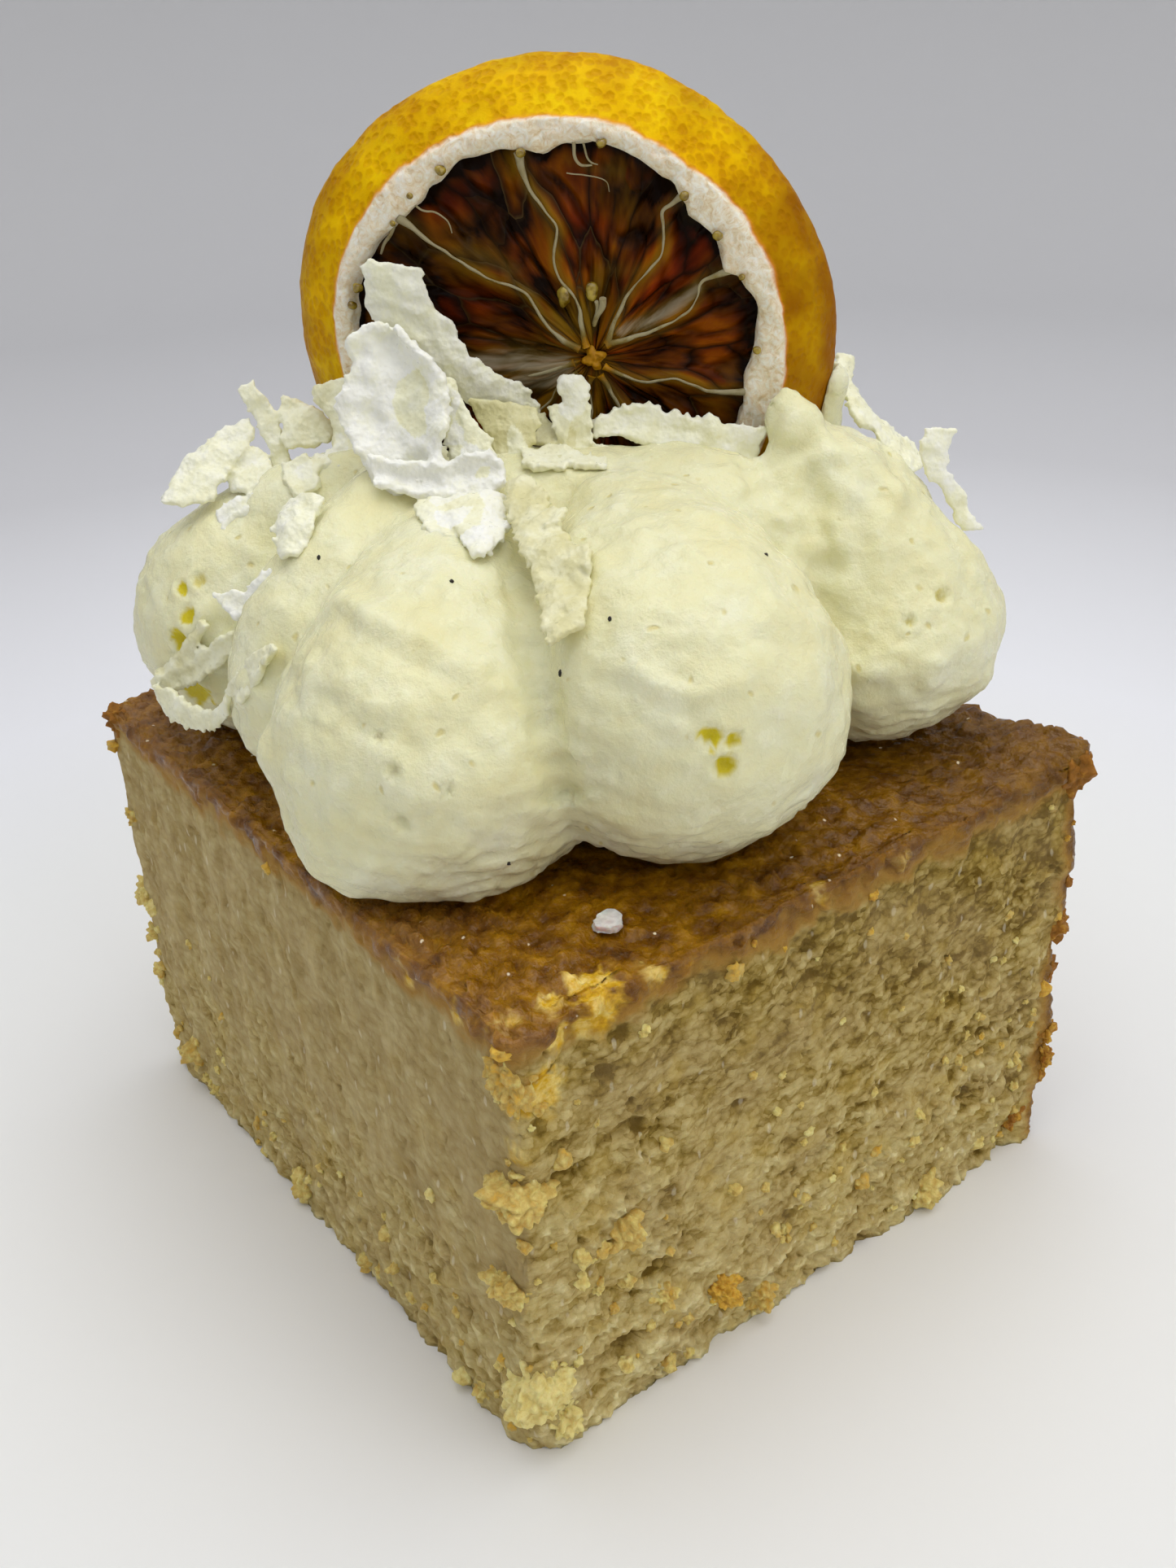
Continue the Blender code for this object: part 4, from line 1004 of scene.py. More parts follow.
def from_line(point, line):
    """The distance from a point to a line through several places."""
    nearest = 1e9
    for start, end in zip(line, line[1:]):
        start, end = Vector(start), Vector(end)
        share = max(0.0, min(1.0, (point - start).dot(end - start) / (end - start).length_squared))
        nearest = min(nearest, (point - start.lerp(end, share)).length)
    return nearest


def cream_relief(point):
    """How far the cream's skin stands out, in mm: soft waves, torn patches, folds, pits."""
    torn = smooth_step(0.0, 0.4, grain(point, 8 * MM, 39.0))
    height = 0.28 * grain(point, 4.5 * MM, 31.0) + (0.05 + 0.14 * torn) * grain(point, 1.8 * MM, 33.0)
    height += (0.1 + 0.45 * torn) * (0.2 - abs(fine_grain(stretched(point, (1, 1, 1.6)), 4 * MM, 38.0)))
    low = 1 - smooth_step(3 * MM, 12 * MM, point.z - CAKE_TOP)
    folds = math.sin(2 * math.pi * (point.z + 1.5 * MM * grain(point, 6 * MM, 35.0)) / (1.5 * MM))
    height += 0.22 * low * folds * smooth_step(-0.2, 0.5, grain(point, 8 * MM, 36.0))
    peak = Vector((17, -17, 74)) * MM
    lumpy = 1 - smooth_step(6 * MM, 14 * MM, (point - peak).length)
    height += 0.3 * lumpy * (clumps(point, 3.0 * MM, 7.0) - 0.5)
    height += 0.65 * lumpy * fine_grain(point, 2.3 * MM, 37.0)
    here = point / MM
    for place, radius, depth, _ in CREAM_PITS:
        share = (here - Vector(place)).length / radius
        if share < 2:
            lip = 0.15 * math.exp(-(((share - 1.25) / 0.25) ** 2))
            height -= depth * max(0.0, 1 - share**2) ** 1.5 - lip
    for place, radius, rise in CREAM_BUMPS:
        share = (here - Vector(place)).length / radius
        height += rise * math.exp(-(share**2))
    for line, width, rise in CREAM_RIDGES:
        if (here - Vector(line[1])).length < RIDGE_REACH:
            share = (from_line(here, line) + 0.4 * fine_grain(point, 2 * MM, 32.0)) / width
            height += rise * math.exp(-(share**2) if rise > 0 else -share)
    return height


def make_cream(material):
    shapes = {**DOLLOPS, **CREAM_FILLS}
    cream = join([make_dollop(name, values) for name, values in shapes.items()], "cream_piping", material)
    modify(cream, "REMESH", mode="VOXEL", voxel_size=CREAM_VOXEL)
    modify(cream, "SMOOTH", factor=0.5, iterations=14)

    def wave(point, normal):
        return point + normal * (CREAM_WOBBLE * grain(point, 9 * MM) + MM * cream_relief(point))

    shape(cream, wave)
    cut_away(cream, below_cream(), lemon_room())

    def curd(point, _):
        rag = 0.5 * grain(point, 1.2 * MM, 34.0)
        return max(
            amount * (1 - smooth_step(0.5, 1.15, rag + (point / MM - Vector(place)).length / radius))
            for place, radius, _, amount in CREAM_PITS
        )

    paint(cream, "curd", curd)
    finish_piece(cream, "cream", "cream")
    return cream


def below_cream():
    """Everything lower than the cream's flat underside."""
    bpy.ops.mesh.primitive_cube_add(
        size=1, location=(0, 0, CAKE_TOP / 2), scale=(0.16, 0.16, CAKE_TOP + 2 * GAP)
    )
    return named("below")


def cut_away(obj, *cutters):
    for cutter in cutters:
        modify(obj, "BOOLEAN", operation="DIFFERENCE", object=cutter, solver="MANIFOLD")
        bpy.data.objects.remove(cutter)


# ---- lemon -------------------------------------------------------------------------------
def lemon_axes():
    level = Vector((math.sin(LEMON_YAW), -math.cos(LEMON_YAW), 0))
    facing = math.cos(LEMON_LEAN) * level + math.sin(LEMON_LEAN) * Vector((0, 0, 1))
    right = Vector((math.cos(LEMON_YAW), math.sin(LEMON_YAW), 0))
    return right, facing.cross(right), facing


def in_lemon(right, up, forward):
    axes = lemon_axes()
    return LEMON_CENTRE + axes[0] * right + axes[1] * up + axes[2] * forward


def rim_wave(angle):
    """The rim isn't quite round: 1 is round."""
    flattened = 0.033 * math.exp(-(((angle - math.radians(95)) / math.radians(32)) ** 2))
    return 1 + 0.018 * math.cos(2 * angle - 4.6) + 0.008 * math.sin(5 * angle + 0.6) - flattened


def lemon_room():
    """The slice's outer form grown by the gap, to cut its seat in the cream."""
    bpy.ops.mesh.primitive_cylinder_add(vertices=96, radius=1, depth=2)
    room = named("lemon_room")
    in_edit_mode(room, (bpy.ops.mesh.subdivide, {"number_cuts": 1}))

    def place(unit, _):
        angle, reach = math.atan2(unit.y, unit.x), math.hypot(unit.x, unit.y)
        radius, forward = BACK_RADIUS, -LEMON_THICK - GAP
        if unit.z > 0.5:
            radius, forward = FACE_RADIUS, GAP
        elif unit.z > -0.5:
            radius, forward = (FACE_RADIUS + BACK_RADIUS) / 2 + PEEL_BULGE, -LEMON_THICK / 2
        grown = reach * (radius * rim_wave(angle) + 2 * GAP)
        return in_lemon(grown * math.cos(angle), grown * math.sin(angle), forward)

    shape(room, place)
    face_outward(room)
    return room


PROFILE = (  # (radius, forward) in mm round a section of the peel and pith, from the front's lip
    (19.1, -2.6), (19.0, -1.0), (19.3, -0.1), (20.2, 0.25), (21.2, 0.1), (21.7, -0.5), (23.3, -1.9),
    (24.8, -3.3), (25.9, -4.9), (26.3, -6.0), (25.9, -6.5), (25.0, -6.5), (24.0, -6.3),
    (23.8, -5.4), (23.8, -4.2), (21.0, -3.4),
)
FRONT_LIP, BACK_LIP = 19.1, 23.8  # mm from the middle to the pith's inner edge on each face


def on_loop(values, share):
    """The value at a share of the way round a closed list, on a smooth curve."""
    count = len(values)
    at = int(share * count) % count
    part = share * count - int(share * count)
    a, b, c, d = (values[(at + step) % count] for step in (-1, 0, 1, 2))
    return b + 0.5 * part * (c - a + part * (2 * a - 5 * b + 4 * c - d + part * (3 * (b - c) + d - a)))


FLESH_RIM = (  # (angle in degrees, radius in mm) of the pith's scalloped inner edge
    (-18, 18.4), (-9, 18.0), (2, 18.7), (11, 19.3), (20, 18.7), (26, 17.3), (35, 18.1), (45, 17.5),
    (49, 18.2), (56, 18.7), (66, 19.1), (76, 19.3), (86, 18.7), (93, 17.9), (98, 18.4), (106, 19.0),
    (116, 19.3), (125, 19.0), (134, 18.6), (151, 19.8), (161, 20.1), (168, 19.9), (177, 19.7),
    (188, 18.2), (205, 19.4), (227, 18.0), (250, 19.4), (276, 18.0), (296, 19.2), (313, 17.9),
    (329, 18.9),
)
BACK_GROWTH = (BACK_RADIUS - PITH_WIDTH) / (FACE_RADIUS - PITH_WIDTH)


def flesh_rim(angle):
    """How far out the flesh reaches on the front face, in mm."""
    degrees = math.degrees(angle) % 360
    if degrees > 342:
        degrees -= 360
    for (low, first), (high, second) in zip(FLESH_RIM, FLESH_RIM[1:] + ((342, 18.4),)):
        if low <= degrees <= high:
            return first + (second - first) * smooth_step(low, high, degrees)
    return FLESH_RIM[0][1]


def make_rind(material):
    bpy.ops.mesh.primitive_torus_add(
        major_segments=256, minor_segments=64, major_radius=1, minor_radius=0.25
    )
    rind = named("lemon_peel", material)
    section = [Vector((radius, forward)) for radius, forward in PROFILE]
    zones, browning_and_flank_shade = [], []

    def place(unit, _):
        angle = math.atan2(unit.y, unit.x)
        turn = math.atan2(unit.z, math.hypot(unit.x, unit.y) - 1)
        share = (0.5 - turn / (2 * math.pi)) % 1.0
        radius, forward = on_loop(section, share)
        out = radius
        front = 1 - smooth_step(19.3, 21.2, radius) if share < 0.3 else 0.0
        behind = smooth_step(0.7, 0.8, share)
        radius *= rim_wave(angle)
        radius += front * (flesh_rim(angle) + out - FRONT_LIP - radius)
        radius += behind * (flesh_rim(angle) * BACK_GROWTH + out - BACK_LIP - radius)
        at = in_lemon(radius * math.cos(angle) * MM, radius * math.sin(angle) * MM, forward * MM)
        radius += (front + behind) * 0.3 * fine_grain(at, 1.6 * MM, 41.0)
        border = 21.5 + 0.25 * grain(at, 2.2 * MM, 44.0) + 0.3 * fine_grain(at, 7 * MM, 45.0)
        pith = 1.0 if share > 0.72 else 1 - smooth_step(border - 0.5, border + 0.5, out)
        forward += pith * 0.22 * grain(at, 1.1 * MM, 42.0)
        glands = clumps(at, 1.3 * MM, 2.0)
        radius += (1 - pith) * (0.16 * grain(at, 3 * MM, 43.0) - 0.1 * glands)
        zones.append(pith)
        rear = smooth_step(24.0, 26.2, out)
        sideways = unit.x / math.hypot(unit.x, unit.y)
        # The flanks are partly browned and partly darkened by painted shade.
        flank_browning_and_shade = 0.3 * smooth_step(0.3, 0.9, -sideways) + 0.95 * smooth_step(0.6, 0.98, sideways)
        browning_and_flank_shade.append(flank_browning_and_shade + 0.35 * rear + 0.3 * grain(at, 4 * MM, 46.0))
        return in_lemon(radius * math.cos(angle) * MM, radius * math.sin(angle) * MM, forward * MM)

    shape(rind, place)
    face_outward(rind)
    paint_list(rind, "pith", zones)
    paint_list(rind, "browned", browning_and_flank_shade)
    finish_piece(rind, "dried_lemon", "lemon_slice")
    return rind


MEMBRANES = (  # (right, up) in mm from the core to the pith, on the front face
    (
        (1.9, 0.3), (0.1, 1.4), (-1.5, 3.2), (-2.5, 5.0), (-3.7, 6.0), (-6.3, 6.9), (-8.3, 8.1),
        (-10.1, 9.3), (-11.6, 10.3), (-13.0, 11.5), (-14.4, 12.6),
    ),
    (
        (2.6, 0.5), (2.2, 2.7), (1.9, 4.7), (0.1, 7.2), (-0.1, 9.1), (0.2, 11.4), (-0.7, 12.8),
        (-1.8, 14.3), (-2.5, 15.7), (-2.9, 18.0),
    ),
    (
        (4.6, 0.8), (5.5, 3.1), (6.8, 5.5), (8.7, 7.6), (9.9, 9.2), (10.0, 11.3), (9.9, 12.6),
        (10.9, 13.4), (12, 14.2),
    ),
    (
        (4.6, 0.7), (7.8, 1.6), (10.0, 2.4), (12.1, 3.6), (13.1, 5.0), (13.4, 6.2), (14.3, 6.8),
        (16.6, 7.6),
    ),
    ((4.2, -1.3), (6.2, -2.3), (8.1, -2.9), (10.8, -2.6), (12.5, -3.1), (14.6, -3.8), (18.0, -3.8)),
    ((3.1, -2.3), (2.7, -3.5), (2.9, -5.2), (2.8, -7.4), (2.0, -18.4)),
    ((1.6, -1.9), (0.8, -2.3), (-0.6, -3.7), (-1.9, -5.4), (-9.0, -10.6), (-13.0, -13.6)),
    ((1.4, -1.0), (-4.0, -2.4), (-12.0, -2.8), (-18.6, -3.2)),
    ((3.9, -2.2), (6.6, -7.0), (9.6, -12.0), (12.8, -13.4)),
)
MEMBRANE_HALF_THICK = 0.16  # mm
LOOSE_MEMBRANES = (  # torn ends that stand free of the flesh: (right, up) and half thickness in mm
    (((-14.8, 12.0), (-15.3, 11.0), (-16.0, 10.2), (-16.5, 9.3)), 0.2),
    (((-13.4, 14.2), (-12.3, 13.2), (-11.0, 12.9), (-10.0, 12.2), (-9.6, 11.0)), 0.1),
    (((2.0, 18.8), (2.1, 17.6), (2.6, 16.7), (3.6, 16.7)), 0.16),
    (((2.9, 18.6), (3.3, 17.2), (4.2, 16.7)), 0.1),
    (((1.3, 16.1), (2.6, 15.9), (3.9, 15.7), (4.9, 15.2), (5.1, 14.4)), 0.06),
    (((4.3, 5.0), (4.2, 4.3), (3.7, 3.3), (3.4, 2.4)), 0.34),
    (((3.7, 4.8), (3.8, 4.0), (3.3, 2.6)), 0.2),
)
FILMS = (  # sheets of membrane that lie over the flesh: line in mm, half width, how thick
    (((5.9, 1.9), (9.2, 3.1), (11.7, 4.6), (13.1, 5.9)), 0.8, 1.0),
    (((-9.0, -1.6), (-6.0, -1.1), (-3.0, -1.2), (0.4, -1.3)), 1.5, 1.1),
    (((-4.5, -2.9), (-1.8, -2.8), (0.6, -2.4)), 1.1, 1.1),
    (((-1.9, 14.0), (-0.8, 12.0), (-0.3, 9.9), (-0.3, 7.6)), 0.55, 0.4),
    (((4.2, 7.2), (6.2, 7.4), (7.9, 7.4)), 0.9, 0.4),
    (((2.0, 2.6), (3.2, 2.4), (3.8, 6.0)), 1.0, 0.5),
    (((-12.0, 9.4), (-8.0, 6.9), (-4.0, 5.4)), 0.5, 0.35),
    (((-8.5, 9.4), (-6.5, 8.6), (-4.5, 7.6)), 1.1, 0.45),
    (((1.6, 17.0), (3.6, 16.4), (6.0, 15.9)), 0.7, 0.5),
)
SACS = (  # (right, up), radius in mm; how golden: 0 is red-brown; how much painted light is in it
    ((8.7, 6.7), 2.2, 0.0, 1.0),
    ((12.4, 9.3), 2.2, 0.0, 0.85),
    ((2.9, 10.6), 1.9, 0.05, 0.7),
    ((-9.1, 13.7), 1.6, 0.1, 0.5),
    ((-10.1, 3.7), 1.8, 0.0, 0.55),
    ((-7.6, 4.2), 1.8, 0.0, 0.5),
    ((-5.8, 14.0), 2.0, 0.3, 0.6),
    ((-1.0, 14.6), 2.0, 0.55, 0.8),
    ((6.4, 9.0), 2.6, 0.6, 0.85),
    ((9.6, -0.6), 3.4, 0.45, 0.8),
    ((15.0, 1.6), 3.6, 0.4, 0.9),
    ((-6.6, 0.9), 2.2, 0.6, 0.8),
    ((12.4, 13.0), 1.6, 0.5, 0.6),
    ((9.4, -4.6), 2.4, 0.6, 0.55),
    ((-8.5, 9.6), 2.6, 0.9, 0.5),
    ((-13.4, 10.6), 1.6, 0.9, 0.45),
    ((1.2, 3.4), 2.0, 0.95, 0.6),
    ((14.6, 7.9), 1.4, 0.7, 0.5),
    ((-3.5, 12.7), 1.8, 0.3, 0.0),
    ((-6.8, 11.2), 1.6, 0.3, 0.0),
    ((2.2, 8.6), 1.2, 0.3, 0.05),
    ((9.7, 14.4), 1.6, 0.4, 0.15),
    ((13.4, 14.0), 1.8, 0.4, 0.1),
    ((-4.6, 2.4), 2.2, 0.3, 0.0),
    ((8.4, 0.6), 1.6, 0.4, 0.1),
    ((-1.4, 5.4), 1.5, 0.4, 0.05),
    ((-7.6, 17.8), 1.4, 0.4, 0.1),
    ((-13.0, 7.4), 3.0, 0.4, 0.1),
    ((17.4, 3.4), 1.4, 0.3, 0.1),
)
FLESH_WALL = 0.985  # beyond this share of its reach the flesh turns down its outer wall


def on_curve(values, share):
    """The value at a share of the way through a list, on a smooth curve."""
    last = len(values) - 1
    at = min(int(share * last), last - 1)
    part = share * last - at
    before, here = values[max(at - 1, 0)], values[at]
    after, beyond = values[at + 1], values[min(at + 2, last)]
    slope_here, slope_after = (after - before) / 2, (beyond - here) / 2
    return (
        here * (2 * part**3 - 3 * part**2 + 1)
        + slope_here * (part**3 - 2 * part**2 + part)
        + after * (3 * part**2 - 2 * part**3)
        + slope_after * (part**3 - part**2)
    )


def membrane_line(points, steps=40):
    return [on_curve([Vector(point) for point in points], step / steps) for step in range(steps + 1)]


def tree_of(points):
    """The points of a line, or of several, set out so that the nearest is found at once."""
    tree = kdtree.KDTree(len(points))
    for index, point in enumerate(points):
        tree.insert((*point, 0), index)
    tree.balance()
    return tree


def juice_sac(bearing, far, seed):
    """Sacs long towards the core: 1 inside one and 0 between them, and the sac's own number."""
    at = Vector((bearing * 9 / 2.1, far / 6.0, seed))
    at += 0.35 * Vector((noise.noise(at * 1.3), noise.noise(at * 1.3 + Vector((5, 0, 0))), 0))
    near, places = noise.voronoi(at)
    return smooth_step(0.02, 0.35, near[1] - near[0]), 0.5 + 0.5 * noise.cell(places[0] * 5.3)


def make_flesh(material):
    bpy.ops.mesh.primitive_uv_sphere_add(segments=400, ring_count=160, radius=1)
    flesh = named("lemon_flesh", material)
    membranes = tree_of([spot for points in MEMBRANES for spot in membrane_line(points, 80)])
    sheets = [(tree_of(membrane_line(points, 30)), width, amount) for points, width, amount in FILMS]
    core = CORE_PLACE / MM
    painted = {"light": [], "golden": [], "film": [], "round_core": [], "from_core": []}

    def place(unit, _):
        angle = math.atan2(unit.y, unit.x)
        latitude = math.asin(max(-1.0, min(1.0, unit.z))) / (math.pi / 2)
        face = 1 if latitude > 0 else -1
        reach = min(1.0, (1 - abs(latitude)) * 1.02)
        rim = Vector((math.cos(angle), math.sin(angle)))
        edge = flesh_rim(angle)
        on_front = core.lerp(rim * (edge + 0.4), reach)
        growth = 1 if face > 0 else BACK_GROWTH
        if reach > FLESH_WALL:
            growth = (1 + BACK_GROWTH) / 2
        flat = core.lerp(rim * (edge * growth + 0.4), reach)
        gap = membranes.find((*on_front, 0))[2]
        far = (on_front - core).length
        bearing = (math.atan2(on_front.y - core.y, on_front.x - core.x) + math.pi / 2) % (2 * math.pi)
        inside, own = juice_sac(bearing, far, 3.0 * face)
        stray = 0.8 * noise.noise(Vector((far / 3, bearing * 3, 1)))
        sweep = Vector((bearing * 9 + stray, far / 6, face))
        threads = noise.fractal(sweep * 1.7, 0.7, 2.0, 3)
        sheet = max(
            amount * math.exp(-((line.find((*on_front, 0))[2] / width) ** 2))
            for line, width, amount in sheets
        )
        spots = [(s, math.exp(-(((on_front - Vector(s[0])).length / s[1]) ** 2))) for s in SACS]
        held = sum(share for _, share in spots)
        glow = sum(s[3] * share for s, share in spots) / max(held, 0.001)
        hue = sum(s[2] * share for s, share in spots) / max(held, 0.001)
        held = min(1.0, 1.6 * held) * (1 if face > 0 else 0)
        sunk = smooth_step(0.0, 2.6, gap)
        depth = 1.05 + 1.15 * sunk + sunk * (0.7 * (0.5 - own) - 0.5 * (inside - 0.5) + 0.15 * threads)
        depth -= 0.35 * sheet
        if reach > FLESH_WALL:
            depth = LEMON_THICK / MM / 2
        # Painted light and shade: each sac's glow, darker at its seams and towards the pith, lighter along
        # the membranes.
        light = (0.4 + 0.6 * own) * (1 - held) + glow * held
        light *= 0.45 + 0.55 * inside
        light *= smooth_step(0.0, 1.6, edge - on_front.length)
        light = 0.8 * light + 0.2 * threads + 0.35 * math.exp(-((gap / 0.9) ** 2))
        golden = (0.15 + 0.8 * (1 - own)) * (1 - held) + hue * held
        painted["light"].append(light)
        painted["golden"].append(max(golden, 0.85 * math.exp(-((gap / 1.0) ** 2))) + 0.15 * threads)
        skirt = (0.42 + 0.2 * threads) * math.exp(-((gap / 0.75) ** 2))
        painted["film"].append(max(skirt, sheet * (0.85 + 0.3 * threads)))
        painted["round_core"].append(bearing * 4.0 + 7 * face)
        painted["from_core"].append(far / 9)
        if face < 0:
            depth = LEMON_THICK / MM - depth
        return in_lemon(flat.x * MM, flat.y * MM, -depth * MM)

    shape(flesh, place)
    face_outward(flesh)
    for name, values in painted.items():
        paint_list(flesh, name, values)
    finish_piece(flesh, "dried_lemon", "lemon_slice")
    return flesh


def make_tube(points, face, half_thick, index):
    """A membrane's edge as a cord; one that runs from core to pith thickens towards both."""
    data = bpy.data.curves.new("membrane", "CURVE")
    data.dimensions = "3D"
    data.bevel_depth = half_thick * MM
    data.bevel_resolution = 3
    data.use_fill_caps = True
    line = membrane_line(points, 60)
    spline = data.splines.new("POLY")
    spline.points.add(len(line) - 1)
    loose = index >= len(MEMBRANES)
    for step, (point, flat) in enumerate(zip(spline.points, line)):
        share = step / (len(line) - 1)
        grown = 1.0 if face > 0 else BACK_GROWTH
        stray = (fine_grain(Vector((*flat, 3)), 1.3, index), fine_grain(Vector((*flat, 9)), 1.3))
        flat = flat + 0.12 * Vector(stray)
        depth = 0.85 - 0.4 * share**4
        uneven = fine_grain(Vector((*flat, 5.0)), 1.7, index)
        ends = 1.8 * share**8 + 1.4 * (1 - share) ** 10
        point.radius = 1.2 - 0.55 * math.sin(math.pi * share) ** 0.5 + ends + 0.5 * uneven
        if loose:
            depth = 0.7 + 0.5 * share
            point.radius = 1.0 - 0.5 * share**2
        depth += 0.15 * fine_grain(Vector((*flat, index)), 2, 61.0)
        forward = -depth if face > 0 else depth - LEMON_THICK / MM
        point.co = (*in_lemon(flat.x * grown * MM, flat.y * grown * MM, forward * MM), 1)
    tube = bpy.data.objects.new("membrane", data)
    bpy.context.scene.collection.objects.link(tube)
    choose(tube)
    bpy.ops.object.convert(target="MESH")
    return bpy.context.view_layer.objects.active


def make_membranes(material):
    tubes = []
    for face in (1, -1):
        for index, points in enumerate(MEMBRANES):
            tubes.append(make_tube(points, face, MEMBRANE_HALF_THICK, index))
        bpy.ops.mesh.primitive_ico_sphere_add(subdivisions=4, radius=1)
        star = named("core")

        def place(unit, _, face=face):
            angle = math.atan2(unit.y, unit.x)
            ragged = 0.3 * noise.noise(Vector((2.2 * math.cos(angle), 2.2 * math.sin(angle), 4)))
            reach = 1.0 * MM * (1 + 0.25 * math.cos(4 * angle - 1.3) + ragged)
            at = CORE_PLACE + Vector((unit.x, unit.y)) * reach
            craggy = 0.25 * grain(Vector((at.x, at.y, unit.z * MM)), 0.7 * MM)
            forward = (unit.z * 0.45 - 0.95 + craggy) * MM
            return in_lemon(at.x, at.y, forward if face > 0 else -LEMON_THICK - forward)

        shape(star, place)
        tubes.append(star)
    for index, (points, half_thick) in enumerate(LOOSE_MEMBRANES):
        tubes.append(make_tube(points, 1, half_thick, len(MEMBRANES) + index))
    membranes = join(tubes, "lemon_membranes", material)
    cores = [in_lemon(*CORE_PLACE, -1.0 * MM), in_lemon(*CORE_PLACE, -LEMON_THICK + 1.0 * MM)]

    def tone(point, _):
        return 1 - smooth_step(0.9, 4.2, min((point - place).length for place in cores) / MM) ** 0.7

    paint(membranes, "tone", tone)
    face_outward(membranes)
    finish_piece(membranes, "dried_lemon", "lemon_slice")
    return membranes


OIL_BEADS = (  # (right, up, radius) in mm
    (-10.0, 16.7, 0.45), (-2.6, 18.0, 0.4), (4.6, 18.7, 0.5), (12.0, 14.2, 0.4), (15.0, 10.7, 0.45),
    (17.2, 7.0, 0.3), (18.7, 0.3, 0.4), (-18.7, 6.5, 0.5), (-19.4, 4.8, 0.4), (-14.8, 12.2, 0.3),
    (-13.0, 14.6, 0.3),
)
PIPS = ((0.6, 5.2, 0.65), (3.2, 5.6, 0.6))


def make_beads(material):
    beads = []
    for right, up, radius in OIL_BEADS + PIPS:
        bpy.ops.mesh.primitive_ico_sphere_add(subdivisions=3, radius=radius * MM)
        bead = named("bead")
        long = 1.0 if radius < 0.6 else 1.5
        forward = 0.25 if radius < 0.6 else -1.3
        centre = in_lemon(right * MM, up * MM, forward * MM)

        def place(at, _, centre=centre, long=long):
            return centre + stretched(at, (1, 1, long)) * (1 + 0.4 * fine_grain(centre + at, 0.7 * MM))

        shape(bead, place)
        beads.append(bead)
    beads = join(beads, "lemon_oil_beads", material)
    finish_piece(beads, "dried_lemon")
    return beads


